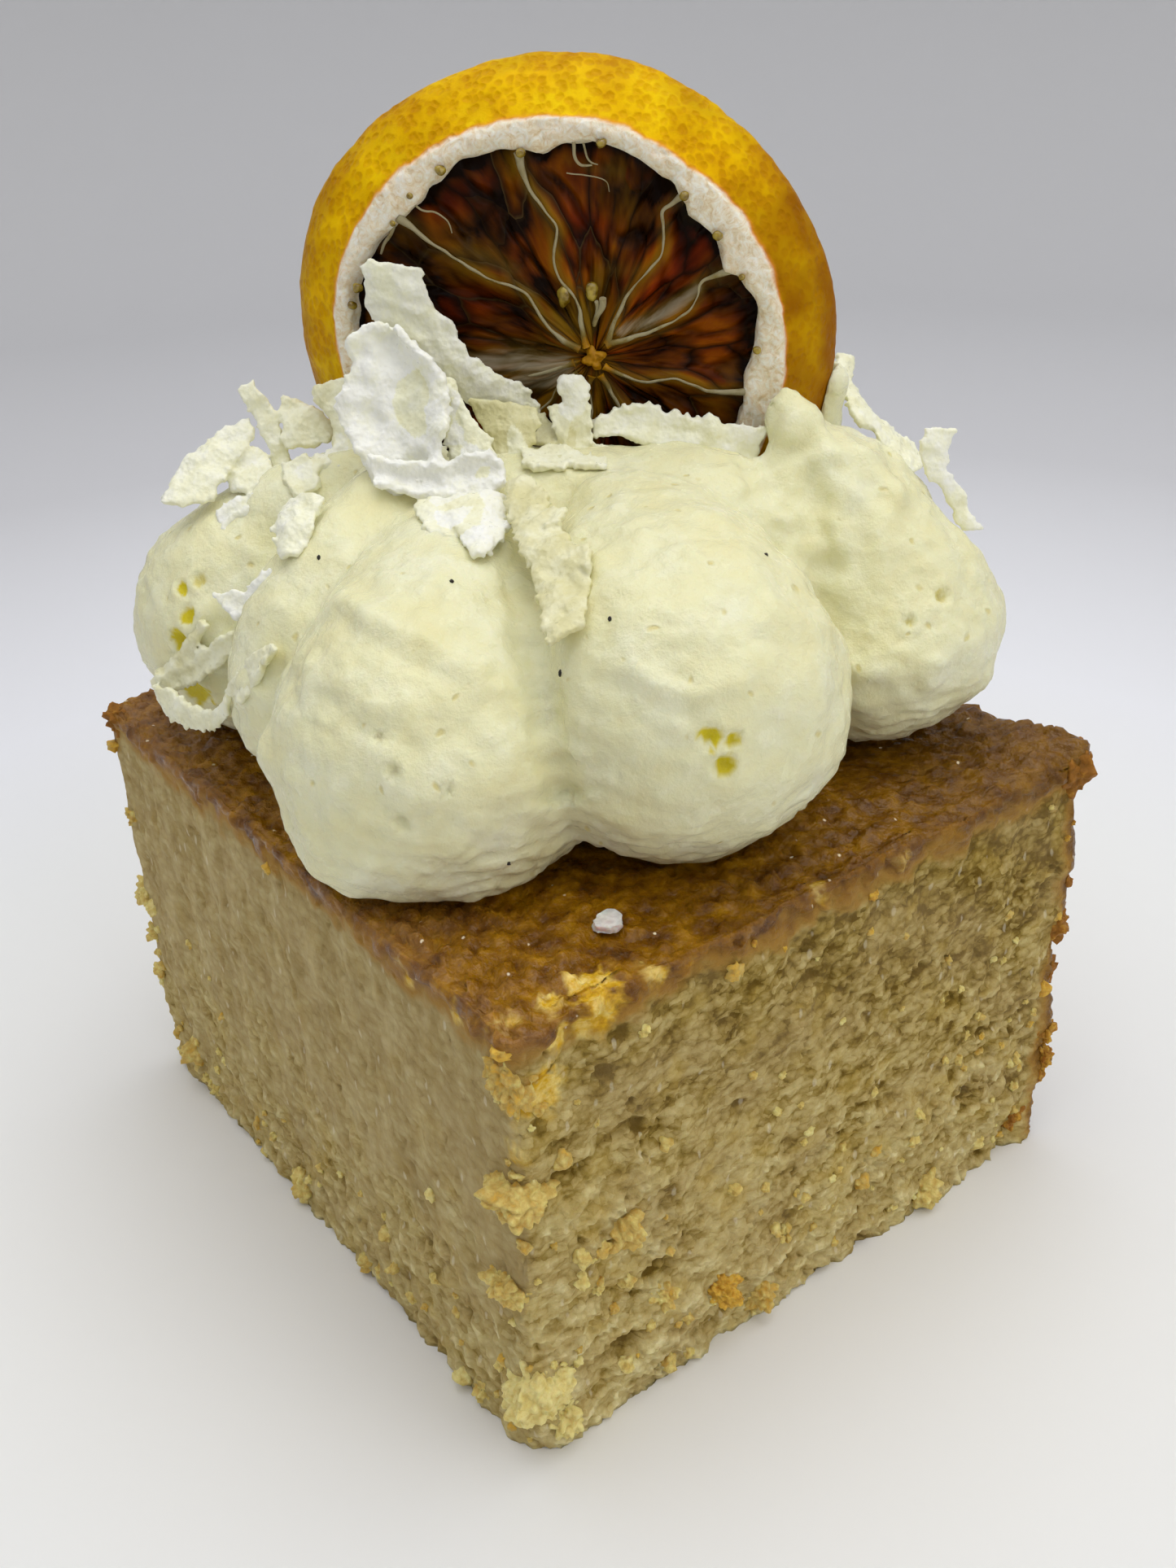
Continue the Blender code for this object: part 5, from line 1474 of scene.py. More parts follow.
# ---- coconut -----------------------------------------------------------------------------
SHAVING_THICK = 0.7 * MM
SHAVING_GRID = 0.35  # mm between the points of a sheet
SHAVING_VOXEL = 0.2 * MM
GRAINS_PER_MM = 2.5
SHAVINGS = {  # by node: left and right edges and bow in mm; how creamy: 0 is white, 1 yellow
    "coconut_flake_tall": (
        (
            (
                (-11.7, 13.4, 94.8), (-11.8, 13.5, 93.1), (-11.7, 13.6, 90.9), (-10.9, 12.9, 88.4),
                (-9.5, 11.6, 87.1), (-7.8, 10.1, 85.0), (-6.2, 8.8, 82.7), (-4.2, 7.0, 80.8),
                (-2.1, 5.0, 79.6),
            ),
            (
                (-8.0, 10.0, 94.3), (-7.7, 9.7, 92.3), (-7.3, 9.5, 90.7), (-6.0, 8.3, 89.0),
                (-5.3, 7.7, 86.8), (-3.3, 5.9, 84.4), (-1.7, 4.5, 83.5), (-0.6, 3.5, 82.0),
                (-0.1, 3.1, 80.6),
            ),
            0.4, 0.25,
        ),
    ),
    "coconut_flake_curled": (
        (
            (
                (-13.0, 9.2, 90.0), (-14.3, 10.5, 89.2), (-15.4, 11.2, 87.9), (-15.5, 10.4, 86.4),
                (-16.8, 10.7, 84.1), (-17.6, 10.6, 82.4), (-17.3, 9.0, 80.5), (-17.0, 7.5, 78.7),
                (-16.9, 6.2, 76.8),
            ),
            (
                (-12.2, 8.1, 89.9), (-11.4, 5.9, 88.2), (-10.7, 4.0, 86.7), (-10.6, 2.7, 84.9),
                (-10.9, 2.2, 83.4), (-11.5, 1.9, 81.7), (-12.1, 1.8, 80.1), (-12.5, 1.3, 78.6),
                (-12.7, 0.7, 77.3),
            ),
            -1.6, 0.05,
        ),
        (
            (
                (-17.5, 5.8, 79.4), (-16.0, 4.0, 78.9), (-14.5, 2.3, 78.7), (-12.6, 0.7, 79.0),
                (-10.9, -0.5, 79.5), (-9.5, -1.7, 79.7), (-9.0, -3.1, 78.6),
            ),
            (
                (-18.0, 4.3, 77.0), (-16.4, 2.4, 76.5), (-15.2, 0.9, 76.2), (-13.7, -0.7, 76.0),
                (-12.2, -2.0, 76.0), (-10.8, -3.2, 76.3), (-9.2, -3.8, 77.4),
            ),
            0.7, 0.00,
        ),
        (
            (
                (-17.1, 7.1, 77.9), (-17.1, 6.0, 76.2), (-18.4, 6.6, 74.3), (-18.3, 5.9, 73.4),
                (-17.8, 4.7, 72.5), (-17.0, 3.1, 71.8),
            ),
            (
                (-14.9, 3.9, 77.4), (-15.3, 3.5, 76.0), (-15.7, 3.2, 74.7), (-15.8, 2.6, 73.6),
                (-15.8, 2.2, 72.8), (-16.0, 1.7, 71.7),
            ),
            0.5, 0.00,
        ),
        (
            (
                (-10.1, 5.1, 86.1), (-10.3, 3.9, 83.7), (-11.0, 3.3, 81.3), (-11.3, 2.2, 78.9),
                (-11.3, 1.2, 77.3),
            ),
            (
                (-9.4, 3.6, 85.2), (-9.2, 1.6, 82.6), (-8.7, 0.1, 81.0), (-8.5, -1.0, 80.0),
                (-9.0, -1.4, 78.1),
            ),
            0.3, 0.50,
        ),
    ),
    "coconut_flake_slab": (
        (
            (
                (-10.2, -5.3, 77.8), (-11.5, -7.4, 77.1), (-13.5, -10.9, 76.0), (-15.1, -14.2, 75.1),
                (-16.0, -16.9, 74.4), (-19.2, -22.7, 72.6), (-20.7, -25.7, 71.8),
            ),
            (
                (-8.6, -6.9, 78.4), (-9.4, -9.9, 77.7), (-10.6, -13.1, 77.0), (-12.3, -17.6, 76.0),
                (-12.4, -19.9, 75.8), (-14.8, -23.2, 74.5), (-17.9, -26.3, 72.9),
            ),
            0.3, 0.90,
        ),
        (
            (
                (-12.6, -12.6, 76.8), (-11.3, -12.9, 77.3), (-10.6, -13.4, 77.5), (-10.1, -14.2, 77.7),
            ),
            (
                (-13.1, -13.7, 76.4), (-12.5, -14.5, 76.6), (-11.6, -14.9, 77.0), (-10.8, -14.8, 77.3),
            ),
            0.1, 0.75,
        ),
        (
            (
                (-13.0, -18.3, 76.2), (-12.7, -19.3, 76.2), (-12.3, -20.0, 76.4),
            ),
            (
                (-14.5, -20.3, 75.4), (-14.4, -21.6, 75.3), (-14.1, -22.5, 75.4),
            ),
            0.1, 0.85,
        ),
    ),
    "coconut_flake_bar": (
        (
            (
                (2.8, -1.2, 80.0), (3.9, -1.9, 80.7), (5.3, -2.7, 81.3), (6.8, -4.0, 81.4),
                (8.1, -5.2, 81.1), (10.0, -7.1, 80.4), (12.5, -9.4, 79.9), (15.1, -11.8, 79.4),
            ),
            (
                (2.5, -1.6, 78.7), (3.5, -2.4, 78.9), (4.5, -3.1, 79.0), (5.6, -4.4, 78.3),
                (6.8, -5.8, 77.6), (8.5, -7.7, 76.6), (10.8, -10.0, 75.9), (13.3, -12.2, 75.5),
            ),
            0.4, 0.35,
        ),
    ),
    "cream": (
        (
            (
                (-6.3, 5.4, 82.5), (-6.3, 4.4, 81.0), (-6.1, 3.3, 79.6), (-6.1, 2.4, 78.2),
                (-6.0, 0.8, 76.0),
            ),
            (
                (-2.1, 1.1, 82.0), (-2.3, 0.5, 80.7), (-3.2, 0.1, 78.9), (-4.2, 0.1, 77.5),
                (-5.5, 0.2, 75.8),
            ),
            0.3, 1.00,
        ),
        (
            (
                (-20.0, 25.0, 79.4), (-22.3, 26.1, 78.5), (-24.9, 26.6, 77.1), (-27.1, 26.7, 75.8),
                (-28.8, 25.9, 74.3), (-30.2, 25.3, 73.2),
            ),
            (
                (-20.1, 23.9, 78.7), (-21.5, 22.9, 77.4), (-23.4, 22.6, 76.0), (-25.4, 22.2, 74.6),
                (-26.6, 21.8, 73.6), (-28.7, 22.9, 72.9),
            ),
            0.3, 0.35,
        ),
        (
            (
                (-20.1, 25.6, 82.7), (-20.2, 25.3, 81.8), (-19.8, 24.1, 79.7), (-19.4, 22.7, 77.3),
                (-19.4, 21.8, 75.1),
            ),
            (
                (-19.1, 24.9, 83.0), (-18.3, 23.4, 81.0), (-18.3, 22.4, 78.6), (-18.0, 21.3, 76.6),
                (-17.9, 20.3, 74.7),
            ),
            0.2, 0.40,
        ),
        (
            (
                (-16.5, 23.3, 81.4), (-17.6, 23.0, 80.1), (-18.0, 22.0, 78.8), (-18.4, 20.6, 77.2),
            ),
            (
                (-15.9, 22.1, 81.0), (-14.8, 19.9, 80.2), (-14.3, 17.9, 79.1), (-15.5, 17.6, 77.7),
            ),
            0.6, 0.50,
        ),
        (
            (
                (-17.7, 16.4, 77.2), (-16.7, 16.0, 77.4), (-15.0, 15.6, 77.8), (-13.3, 14.6, 77.9),
            ),
            (
                (-18.7, 15.2, 76.4), (-17.5, 14.0, 76.2), (-15.9, 13.4, 76.5), (-14.2, 12.8, 76.8),
            ),
            0.2, 0.30,
        ),
        (
            (
                (-15.3, 19.8, 82.9), (-15.3, 19.3, 82.2), (-15.3, 18.5, 81.1), (-14.9, 17.3, 79.8),
                (-15.4, 16.3, 77.5),
            ),
            (
                (-12.3, 17.2, 83.6), (-13.0, 16.9, 82.1), (-13.6, 16.7, 80.9), (-13.8, 15.9, 79.3),
                (-14.0, 14.9, 77.6),
            ),
            0.2, 0.60,
        ),
        (
            (
                (-20.5, 23.6, 76.9), (-22.7, 24.6, 75.9), (-23.7, 23.6, 74.9), (-24.1, 21.6, 73.9),
            ),
            (
                (-20.2, 22.5, 76.7), (-20.4, 20.6, 75.8), (-21.4, 19.8, 74.9), (-23.0, 19.6, 73.8),
            ),
            0.7, 0.30,
        ),
        (
            (
                (-22.5, 20.8, 74.8), (-20.2, 19.8, 75.6), (-17.7, 18.3, 76.3), (-16.7, 17.4, 76.6),
            ),
            (
                (-23.0, 19.4, 74.2), (-20.8, 18.4, 75.0), (-18.1, 16.9, 75.8), (-17.1, 16.5, 76.2),
            ),
            0.1, 0.50,
        ),
        (
            (
                (-23.3, 20.1, 73.6), (-20.5, 19.0, 74.6), (-18.2, 17.5, 75.3),
            ),
            (
                (-23.6, 18.6, 73.1), (-21.1, 17.7, 74.0), (-18.6, 16.2, 74.8),
            ),
            0.1, 0.40,
        ),
        (
            (
                (-27.2, 19.7, 70.9), (-26.3, 21.0, 72.1), (-24.7, 20.5, 73.2), (-22.8, 18.7, 74.0),
            ),
            (
                (-26.8, 19.1, 71.0), (-25.9, 19.3, 71.8), (-24.6, 18.3, 72.4), (-23.2, 17.6, 73.2),
            ),
            0.3, 0.15,
        ),
        (
            (
                (-23.0, 9.5, 76.0), (-25.0, 10.4, 74.8), (-26.7, 8.6, 73.0), (-27.3, 6.1, 71.9),
            ),
            (
                (-22.2, 7.5, 76.1), (-23.4, 6.1, 74.9), (-24.6, 5.3, 73.8), (-26.4, 4.9, 72.3),
            ),
            0.5, 0.35,
        ),
        (
            (
                (-31.7, 12.0, 67.6), (-30.7, 10.7, 68.2), (-29.7, 9.2, 68.7), (-27.9, 8.0, 70.6),
            ),
            (
                (-31.5, 9.8, 66.3), (-30.6, 8.2, 66.5), (-29.6, 6.7, 66.8), (-27.6, 6.1, 69.5),
            ),
            0.3, 0.15,
        ),
        (
            (
                (-32.2, 15.7, 64.3), (-33.0, 17.0, 62.1), (-34.1, 18.8, 59.9), (-35.3, 21.0, 57.9),
            ),
            (
                (-31.8, 14.6, 64.0), (-32.7, 16.1, 61.6), (-33.7, 17.9, 59.4), (-35.1, 20.3, 56.9),
            ),
            0.1, 0.70,
        ),
        (
            (
                (-35.8, 21.1, 57.2), (-34.4, 18.5, 59.1), (-32.7, 15.3, 61.3), (-30.8, 11.7, 64.0),
            ),
            (
                (-35.6, 20.4, 55.6), (-34.1, 17.4, 57.2), (-32.5, 14.3, 59.4), (-30.9, 11.5, 62.2),
            ),
            0.3, 0.55,
        ),
        (
            (
                (-36.4, 19.7, 57.3), (-36.2, 17.8, 55.1), (-35.7, 15.1, 54.5), (-34.6, 10.7, 55.3),
                (-33.7, 7.9, 57.8),
            ),
            (
                (-35.7, 17.1, 57.7), (-35.3, 14.9, 56.9), (-34.7, 12.0, 56.8), (-34.2, 10.0, 57.5),
                (-33.5, 8.0, 59.7),
            ),
            0.2, 0.55,
        ),
        (
            (
                (-34.2, 6.7, 60.4), (-33.3, 5.2, 62.9), (-32.5, 3.2, 65.1), (-32.1, 1.1, 66.6),
            ),
            (
                (-34.4, 3.2, 60.8), (-33.5, 1.7, 63.2), (-32.7, 0.8, 65.2), (-32.2, -0.7, 66.8),
            ),
            0.2, 0.60,
        ),
        (
            (
                (-14.7, -2.4, 76.7), (-16.3, -5.6, 75.9), (-17.6, -9.2, 75.0),
                (-18.2, -11.7, 74.5),
            ),
            (
                (-10.3, -5.4, 76.5), (-12.8, -9.0, 75.5), (-15.3, -10.9, 74.9),
                (-17.7, -12.1, 74.4),
            ),
            0.5, 0.10,
        ),
        (
            (
                (-16.6, -0.4, 76.3), (-17.9, -2.3, 75.8), (-18.6, -4.6, 75.2), (-18.4, -6.4, 74.9),
            ),
            (
                (-14.1, -2.3, 76.2), (-14.9, -4.0, 75.7), (-15.9, -5.9, 75.2), (-17.3, -7.5, 74.8),
            ),
            0.3, 0.50,
        ),
        (
            (
                (-0.4, 0.9, 81.7), (-0.5, 0.3, 80.3), (-0.4, -0.5, 78.5), (-0.1, -1.4, 77.0),
            ),
            (
                (2.2, -1.4, 81.7), (1.9, -1.8, 80.1), (1.9, -2.6, 78.2), (2.5, -3.6, 77.2),
            ),
            0.3, 0.50,
        ),
        (
            (
                (1.0, 0.7, 84.4), (0.6, 0.7, 83.4), (0.7, -0.1, 81.7),
            ),
            (
                (2.2, -0.3, 84.3), (2.6, -1.0, 83.5), (2.0, -1.2, 81.8),
            ),
            0.4, 0.20,
        ),
        (
            (
                (-4.4, 0.1, 78.6), (-2.8, -0.7, 78.7), (-1.5, -2.0, 78.7), (-0.7, -4.2, 78.5),
                (0.1, -6.7, 78.4),
            ),
            (
                (-6.3, -2.5, 78.2), (-5.4, -4.0, 78.1), (-3.9, -5.2, 78.1), (-2.3, -6.2, 78.2),
                (-1.1, -8.3, 78.1),
            ),
            0.1, 0.50,
        ),
        (
            (
                (1.1, -1.9, 78.4), (2.5, -3.1, 78.2), (3.7, -4.5, 77.6), (5.1, -5.9, 76.9),
            ),
            (
                (1.0, -2.0, 77.7), (2.4, -3.5, 77.2), (3.7, -4.8, 76.8), (4.9, -6.0, 76.3),
            ),
            0.1, 0.50,
        ),
        (
            (
                (-0.2, 3.5, 80.8), (0.1, 2.3, 80.2), (0.2, 0.9, 79.4), (0.3, -0.9, 78.3),
            ),
            (
                (-2.2, 1.4, 78.4), (-1.7, 0.6, 78.3), (-0.8, -0.3, 78.1), (-0.1, -1.4, 77.8),
            ),
            0.2, 0.80,
        ),
        (
            (
                (28.5, -20.1, 78.3), (28.1, -20.2, 76.9), (28.0, -20.5, 75.4), (28.2, -21.1, 73.5),
            ),
            (
                (30.8, -21.6, 78.1), (30.2, -21.7, 76.2), (29.6, -21.8, 74.5), (29.5, -22.1, 72.8),
            ),
            0.2, 0.20,
        ),
        (
            (
                (28.4, -21.0, 74.6), (29.3, -22.1, 72.3), (29.9, -23.0, 70.4), (30.5, -23.7, 68.7),
            ),
            (
                (29.6, -21.8, 74.4), (31.0, -23.2, 72.2), (31.3, -23.8, 70.4), (32.1, -24.8, 68.7),
            ),
            0.2, 0.30,
        ),
        (
            (
                (33.4, -3.5, 81.9), (29.9, -7.3, 80.1), (28.7, -10.0, 78.4), (28.4, -11.9, 76.8),
            ),
            (
                (35.7, -3.5, 80.9), (32.3, -6.7, 79.6), (31.8, -9.3, 77.6), (32.5, -11.0, 75.9),
            ),
            0.2, 0.50,
        ),
        (
            (
                (29.6, -10.7, 77.4), (30.2, -12.3, 75.7), (30.6, -14.2, 73.9), (31.6, -15.9, 72.1),
            ),
            (
                (33.1, -10.5, 76.1), (34.9, -11.1, 74.7), (36.2, -12.1, 73.3), (37.2, -13.4, 71.8),
            ),
            0.2, 0.40,
        ),
    ),
}


def make_shaving(left, right, bow):
    """A thin wavy sheet between two edges, torn and crumbling along its rim."""
    left = [Vector(point) for point in left]
    right = [Vector(point) for point in right]
    length = sum((b - a).length for a, b in zip(left, left[1:]))
    width = max((b - a).length for a, b in zip(left, right))
    seed = left[0].x + right[0].y
    bpy.ops.mesh.primitive_grid_add(
        x_subdivisions=max(4, int(width / SHAVING_GRID)),
        y_subdivisions=max(8, int(length / SHAVING_GRID)),
        size=2,
    )
    sheet = named("shaving")

    def place(flat, _):
        share, side = (flat.y + 1) / 2, flat.x
        ends = [max(share - 0.03, 0.0), min(share + 0.03, 1.0)]
        behind, before = (on_curve(left, end) + on_curve(right, end) for end in ends)
        ahead = (before - behind).normalized()
        a, b = on_curve(left, share), on_curve(right, share)
        across = (b - a).normalized()
        normal = ahead.cross(across).normalized()
        point = a.lerp(b, (side + 1) / 2)
        ripple = 0.3 * noise.noise(point / 3.5 + Vector((seed, 0, 0)))
        crease = 0.3 - abs(noise.noise(point / 2.4 + Vector((0, seed, 5))))
        point += normal * (bow * (0.5 - side * side) + ripple + (0.7 + 0.25 * abs(bow)) * crease)
        reach = min(0.55, 0.16 * (b - a).length)
        torn = reach * (noise.noise(point / 0.9 + Vector((seed, 3, 1))) + 1.3 * noise.noise(point / 0.45))
        end = 0.8 * reach * (noise.noise(point / 1.1 + Vector((0, seed, 7))) + 0.3)
        point += across * torn * side * abs(side) ** 5
        return (point + ahead * end * math.copysign(abs(flat.y) ** 9, flat.y)) * MM

    shape(sheet, place)
    modify(sheet, "SOLIDIFY", thickness=SHAVING_THICK, offset=0.0)
    return sheet


def shaving_grains(left, right, chance):
    """Grains that crumble from a shaving's edges and faces."""
    left = [Vector(point) for point in left]
    right = [Vector(point) for point in right]
    length = sum((b - a).length for a, b in zip(left, left[1:]))
    for _ in range(int(length * GRAINS_PER_MM)):
        share = chance.random()
        side = chance.choice((-0.01, 0.0, 0.02, 0.98, 1.0, 1.01, chance.random()))
        spot = on_curve(left, share).lerp(on_curve(right, share), side)
        jitter = Vector([chance.uniform(-0.2, 0.2) for _ in range(3)])
        bpy.ops.mesh.primitive_ico_sphere_add(
            subdivisions=1, radius=chance.uniform(0.2, 0.36) * MM, location=(spot + jitter) * MM
        )
        yield named("grain")


def make_shavings(name, shavings, material):
    """Sheets and their grains grown into one crumbling skin."""
    chance = random.Random(name)
    parts, spots = [], []
    for left, right, bow, creamy in shavings:
        parts.append(make_shaving(left, right, bow))
        parts += shaving_grains(left, right, chance)
        spots += [(Vector(point) * MM, creamy) for point in (*left, *right)]
    pieces = join(parts, name, material)
    face_outward(pieces)
    modify(pieces, "REMESH", mode="VOXEL", voxel_size=SHAVING_VOXEL)
    modify(pieces, "SMOOTH", factor=0.5, iterations=2)

    def roughen(point, normal):
        crumble = 0.08 * grain(point, 0.7 * MM, 71.0) + 0.06 * (clumps(point, 0.6 * MM, 4.0) - 0.5)
        return point + normal * MM * (crumble + 0.1 * grain(point, 3 * MM, 72.0))

    shape(pieces, roughen)
    near = kdtree.KDTree(len(spots))
    for index, (place, _) in enumerate(spots):
        near.insert(place, index)
    near.balance()
    paint(pieces, "creamy", lambda point, _: spots[near.find(point)[1]][1])
    return pieces


BACK_FLAKES = 14
BACK_FLAKE_SEED = 7


def back_shavings(cream):
    """Small shavings thrown over the side of the cream that faces away."""
    chance = random.Random(BACK_FLAKE_SEED)
    made = 0
    middle = LEMON_CENTRE - lemon_axes()[2] * LEMON_THICK / 2
    while made < BACK_FLAKES:
        bearing = math.radians(chance.uniform(-10, 150))
        reach = chance.uniform(12, 31) * MM
        above = Vector((math.cos(bearing), math.sin(bearing), 0)) * reach
        above.z = 3 * CAKE_TOP
        found, spot, normal, _ = cream.ray_cast(above, Vector((0, 0, -1)))
        from_lemon = abs((spot - middle).dot(lemon_axes()[2])) - LEMON_THICK / 2
        if not found or normal.z < 0.25 or from_lemon < 6 * MM:
            continue
        turn = Vector((chance.uniform(-1, 1), chance.uniform(-1, 1), chance.uniform(-0.4, 0.6)))
        lying = turn - normal * turn.dot(normal) * 0.7
        run = lying.normalized() * chance.uniform(2.0, 4.5)
        centre = (spot + normal * SHAVING_THICK / 3) / MM
        width = chance.uniform(0.8, 1.9)
        across = run.cross(normal).normalized() * width
        middles = (centre - run, centre + run * 0.2, centre + run)
        left = [point - across * share for point, share in zip(middles, (0.7, 1.0, 0.6))]
        right = [point + across * share for point, share in zip(middles, (0.7, 1.0, 0.6))]
        yield left, right, 0.2, chance.uniform(0.1, 0.6)
        made += 1


# ---- crumbs and specks -------------------------------------------------------------------
def make_lump(centre, radius, seed, detail):
    """A craggy lump made of grains; a small one is a single torn grain."""
    bpy.ops.mesh.primitive_ico_sphere_add(subdivisions=detail, radius=radius * MM)
    lump = named("lump")
    squash = [0.75 + 0.5 * abs(noise.cell(Vector((seed, axis, 3)))) for axis in range(3)]

    def place(at, _):
        out = at.normalized()
        point = stretched(at, squash) * (1 + 0.35 * grain(at, radius * MM, seed))
        if detail > 3:
            point += out * 0.75 * MM * (clumps(centre + at, 1.25 * MM, seed) - 0.6)
            point += out * 0.35 * MM * (clumps(centre + at, 0.65 * MM, seed) - 0.5)
        else:
            point += out * 0.55 * radius * MM * fine_grain(centre + at, 0.55 * radius * MM, seed)
        point += centre
        point.z = max(point.z, 0.2 * MM)
        return point

    shape(lump, place)
    return lump


STREWN_CLUSTERS = 20
NEAR_CLUSTERS = 9  # the first of the clusters, on the edge nearest the camera, have finer grains


def strewn_clusters():
    """The same clusters on the upright edges and round the foot as in the part."""
    chance = random.Random(3)
    half_x, half_y = CAKE_WIDTH / 2 / MM - 0.6, CAKE_DEPTH / 2 / MM - 0.6
    for _ in range(STREWN_CLUSTERS):
        radius = chance.uniform(1.1, 1.9)
        across, deep = chance.choice((-1, 1)), chance.choice((-1, 1))
        heights = (8, 46)
        if chance.random() > 0.45:
            heights = (0.6, 3.0)
            if chance.random() < 0.5:
                across = chance.uniform(-0.9, 0.9)
            else:
                deep = chance.uniform(-0.9, 0.9)
        centre = (across * half_x, deep * half_y, chance.uniform(*heights))
        yield centre, radius, 0.05 + 0.62 * baked(Vector(centre) * MM)


SMALL_CRUMBS = 460


def small_crumbs(cake):
    """Crumbs that cling to the torn sides, thickest low down and along the edges."""
    chance = random.Random(11)
    vertices = cake.data.vertices
    made = 0
    while made < SMALL_CRUMBS:
        vertex = vertices[chance.randrange(len(vertices))]
        point, normal = vertex.co, vertex.normal
        corner = abs(point.x) > CAKE_WIDTH / 2 - 3 * MM and abs(point.y) > CAKE_DEPTH / 2 - 3 * MM
        likely = 0.15 + 0.6 * (1 - point.z / CAKE_TOP) ** 2 + 0.5 * corner
        if normal.x < -0.6 and not corner and point.z > 12 * MM:
            likely *= 0.15
        if point.z < 0.5 * MM or point.z > CAKE_TOP - 1.5 * MM or chance.random() > likely:
            continue
        radius = 0.3 + 0.6 * chance.random() ** 2
        tone = chance.uniform(-0.05, 0.2) + 0.62 * baked(point)
        yield point - normal * 0.15 * radius * MM, radius, tone
        made += 1


def make_crumbs(name, places, detail, material):
    lumps, tones = [], []
    for index, (centre, radius, tone) in enumerate(places):
        centre = Vector(centre) * (MM if detail > 3 else 1)
        lumps.append(make_lump(centre, radius, index, detail + (detail > 3 and index < NEAR_CLUSTERS)))
        tones += [tone] * len(lumps[-1].data.vertices)
    crumbs = join(lumps, name, material)
    paint_list(crumbs, "tone", tones)
    finish_piece(crumbs, "cake_crumb", "cake")
    return crumbs


SPECKS = (  # places in mm on the cream
    (-25.1, 3.2, 72.1), (-17.6, 16.6, 75.2), (-21.7, -13.5, 74.0), (-18.6, -24.7, 68.4),
    (-14.9, -27.2, 72.4), (-1.0, -28.6, 74.5), (-25.9, -27.4, 52.9),
)


def make_specks(cream, material):
    specks = []
    for index, place in enumerate(SPECKS):
        _, spot, _, _ = cream.closest_point_on_mesh(Vector(place) * MM)
        specks.append(make_lump(spot, 0.2, index, 2))
    specks = join(specks, "vanilla_specks", material)
    finish_piece(specks, "cream")
    return specks


def make_sugar(cake, material):
    """A flat flake of sugar that lies on the crust."""
    _, spot, _, _ = cake.ray_cast(Vector((-20.2, -31.3, 100)) * MM, Vector((0, 0, -1)))
    bpy.ops.mesh.primitive_cylinder_add(vertices=7, radius=1.3 * MM, depth=0.7 * MM)
    flake = named("sugar_flake", material)
    in_edit_mode(flake, (bpy.ops.mesh.subdivide, {"number_cuts": 3}))
    above = spot + Vector((0, 0, 0.25 * MM))
    shape(flake, lambda at, _: above + at * (1 + 0.3 * grain(at, 1.5 * MM, 81.0)))
    finish_piece(flake, "cake_crumb")
    bpy.ops.object.shade_flat()
    return flake


# ---- stage, light and camera -------------------------------------------------------------
PHOTO_SIZE = (1445, 1927)
FOCAL_PIXELS = 1900
CAMERA_PLACE = Vector((-85.61, -116.55, 120.12)) * MM
CAMERA_AZIMUTH, CAMERA_ELEVATION, CAMERA_ROLL = (math.radians(a) for a in (-36.87, 28.58, -1.91))


FLOOR_RADIUS = 0.45
SWEEP_RADIUS = 0.15
SWEEP_STEPS = 12
WALL_HEIGHT = 0.6


def make_stage():
    """A round floor that sweeps up into a wall."""
    bpy.ops.mesh.primitive_circle_add(vertices=128, radius=FLOOR_RADIUS, fill_type="NGON")
    sweep = named("pale_sweep", paper_material())
    bpy.ops.object.mode_set(mode="EDIT")
    bpy.ops.mesh.select_mode(type="EDGE")
    bpy.ops.mesh.select_all(action="SELECT")
    bpy.ops.mesh.region_to_loop()
    turns = [math.pi / 2 * step / SWEEP_STEPS for step in range(SWEEP_STEPS + 1)]
    for before, turn in zip(turns, turns[1:]):
        rise = SWEEP_RADIUS * (math.cos(before) - math.cos(turn))
        radius = FLOOR_RADIUS + SWEEP_RADIUS * math.sin(turn)
        last = FLOOR_RADIUS + SWEEP_RADIUS * math.sin(before)
        bpy.ops.mesh.extrude_edges_move(TRANSFORM_OT_translate={"value": (0, 0, rise)})
        bpy.ops.transform.resize(value=(radius / last, radius / last, 1))
    bpy.ops.mesh.extrude_edges_move(TRANSFORM_OT_translate={"value": (0, 0, WALL_HEIGHT)})
    bpy.ops.object.mode_set(mode="OBJECT")
    smooth(sweep)


def make_light(name, place, size, power, colour):
    light = bpy.data.lights.new(name, "AREA")
    light.shape, light.size, light.energy = "DISK", size, power
    light.color = linear(colour)[:3]
    lamp = bpy.data.objects.new(name, light)
    lamp.location = place
    lamp.rotation_mode = "QUATERNION"
    lamp.rotation_quaternion = (lamp.location - Vector((0, 0, 0.05))).to_track_quat("Z", "Y")
    bpy.context.scene.collection.objects.link(lamp)


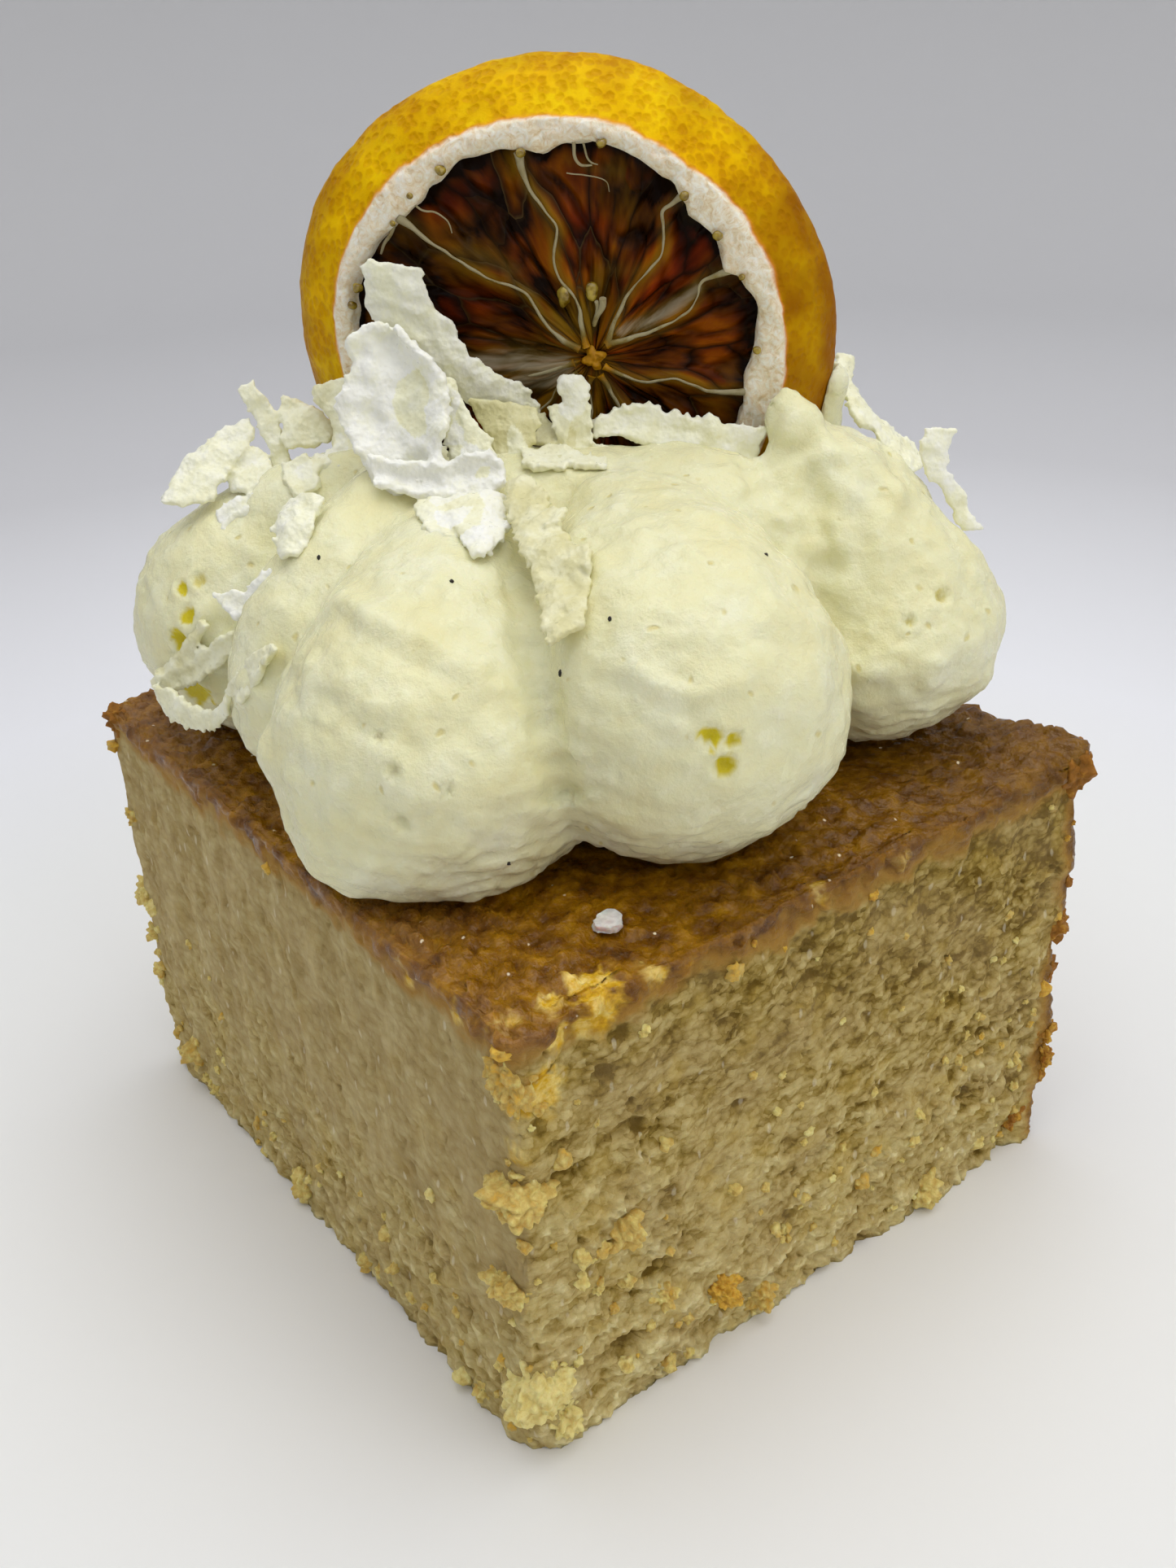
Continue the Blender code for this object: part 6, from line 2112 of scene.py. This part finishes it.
def make_light_and_world():
    make_light("overhead", (0.04, 0.0, 0.62), 0.5, 0.9, "#FFFDFA")
    make_light("front", (0.1, -0.42, 0.32), 0.4, 0.45, "#FFFBF4")
    world = bpy.data.worlds.new("soft_room")
    world.use_nodes = True
    world.node_tree.nodes["Background"].inputs["Color"].default_value = linear("#F2F3F6")
    world.node_tree.nodes["Background"].inputs["Strength"].default_value = 1.25
    bpy.context.scene.world = world
    bpy.context.scene.view_settings.view_transform = "Standard"


def make_camera():
    camera = bpy.data.objects.new("camera", bpy.data.cameras.new("camera"))
    bpy.context.scene.collection.objects.link(camera)
    camera.data.sensor_width = 36
    camera.data.lens = 36 * FOCAL_PIXELS / PHOTO_SIZE[1]
    camera.data.clip_start, camera.data.clip_end = 0.001, 10
    level = math.cos(CAMERA_ELEVATION)
    back = Vector(
        (math.sin(CAMERA_AZIMUTH) * level, -math.cos(CAMERA_AZIMUTH) * level, math.sin(CAMERA_ELEVATION))
    )
    camera.location = CAMERA_PLACE
    camera.rotation_mode = "QUATERNION"
    camera.rotation_quaternion = back.to_track_quat("Z", "Y") @ Quaternion((0, 0, 1), CAMERA_ROLL)
    bpy.context.scene.camera = camera


def main():
    make_camera()
    make_stage()
    make_light_and_world()
    baked_cake = cake_material()
    cake, top = make_cake(baked_cake), make_crust(baked_cake)
    crumbs = crumb_material()
    make_crumbs("crumb_clusters", [*CRUMB_CLUSTERS, *strewn_clusters()], 4, crumbs)
    make_crumbs("small_crumbs", small_crumbs(cake), 3, crumbs)
    make_sugar(top, sugar_material())
    cream = make_cream(cream_material())
    make_specks(cream, vanilla_material())
    make_rind(peel_material())
    make_flesh(flesh_material())
    make_membranes(membrane_material())
    make_beads(oil_material())
    coconut = coconut_material()
    for node, shavings in SHAVINGS.items():
        name = node.replace("coconut_flake", "coconut_shaving").replace("cream", "coconut_shreds")
        extra = back_shavings(cream) if node == "cream" else ()
        finish_piece(make_shavings(name, [*shavings, *extra], coconut), "coconut", node)


main()
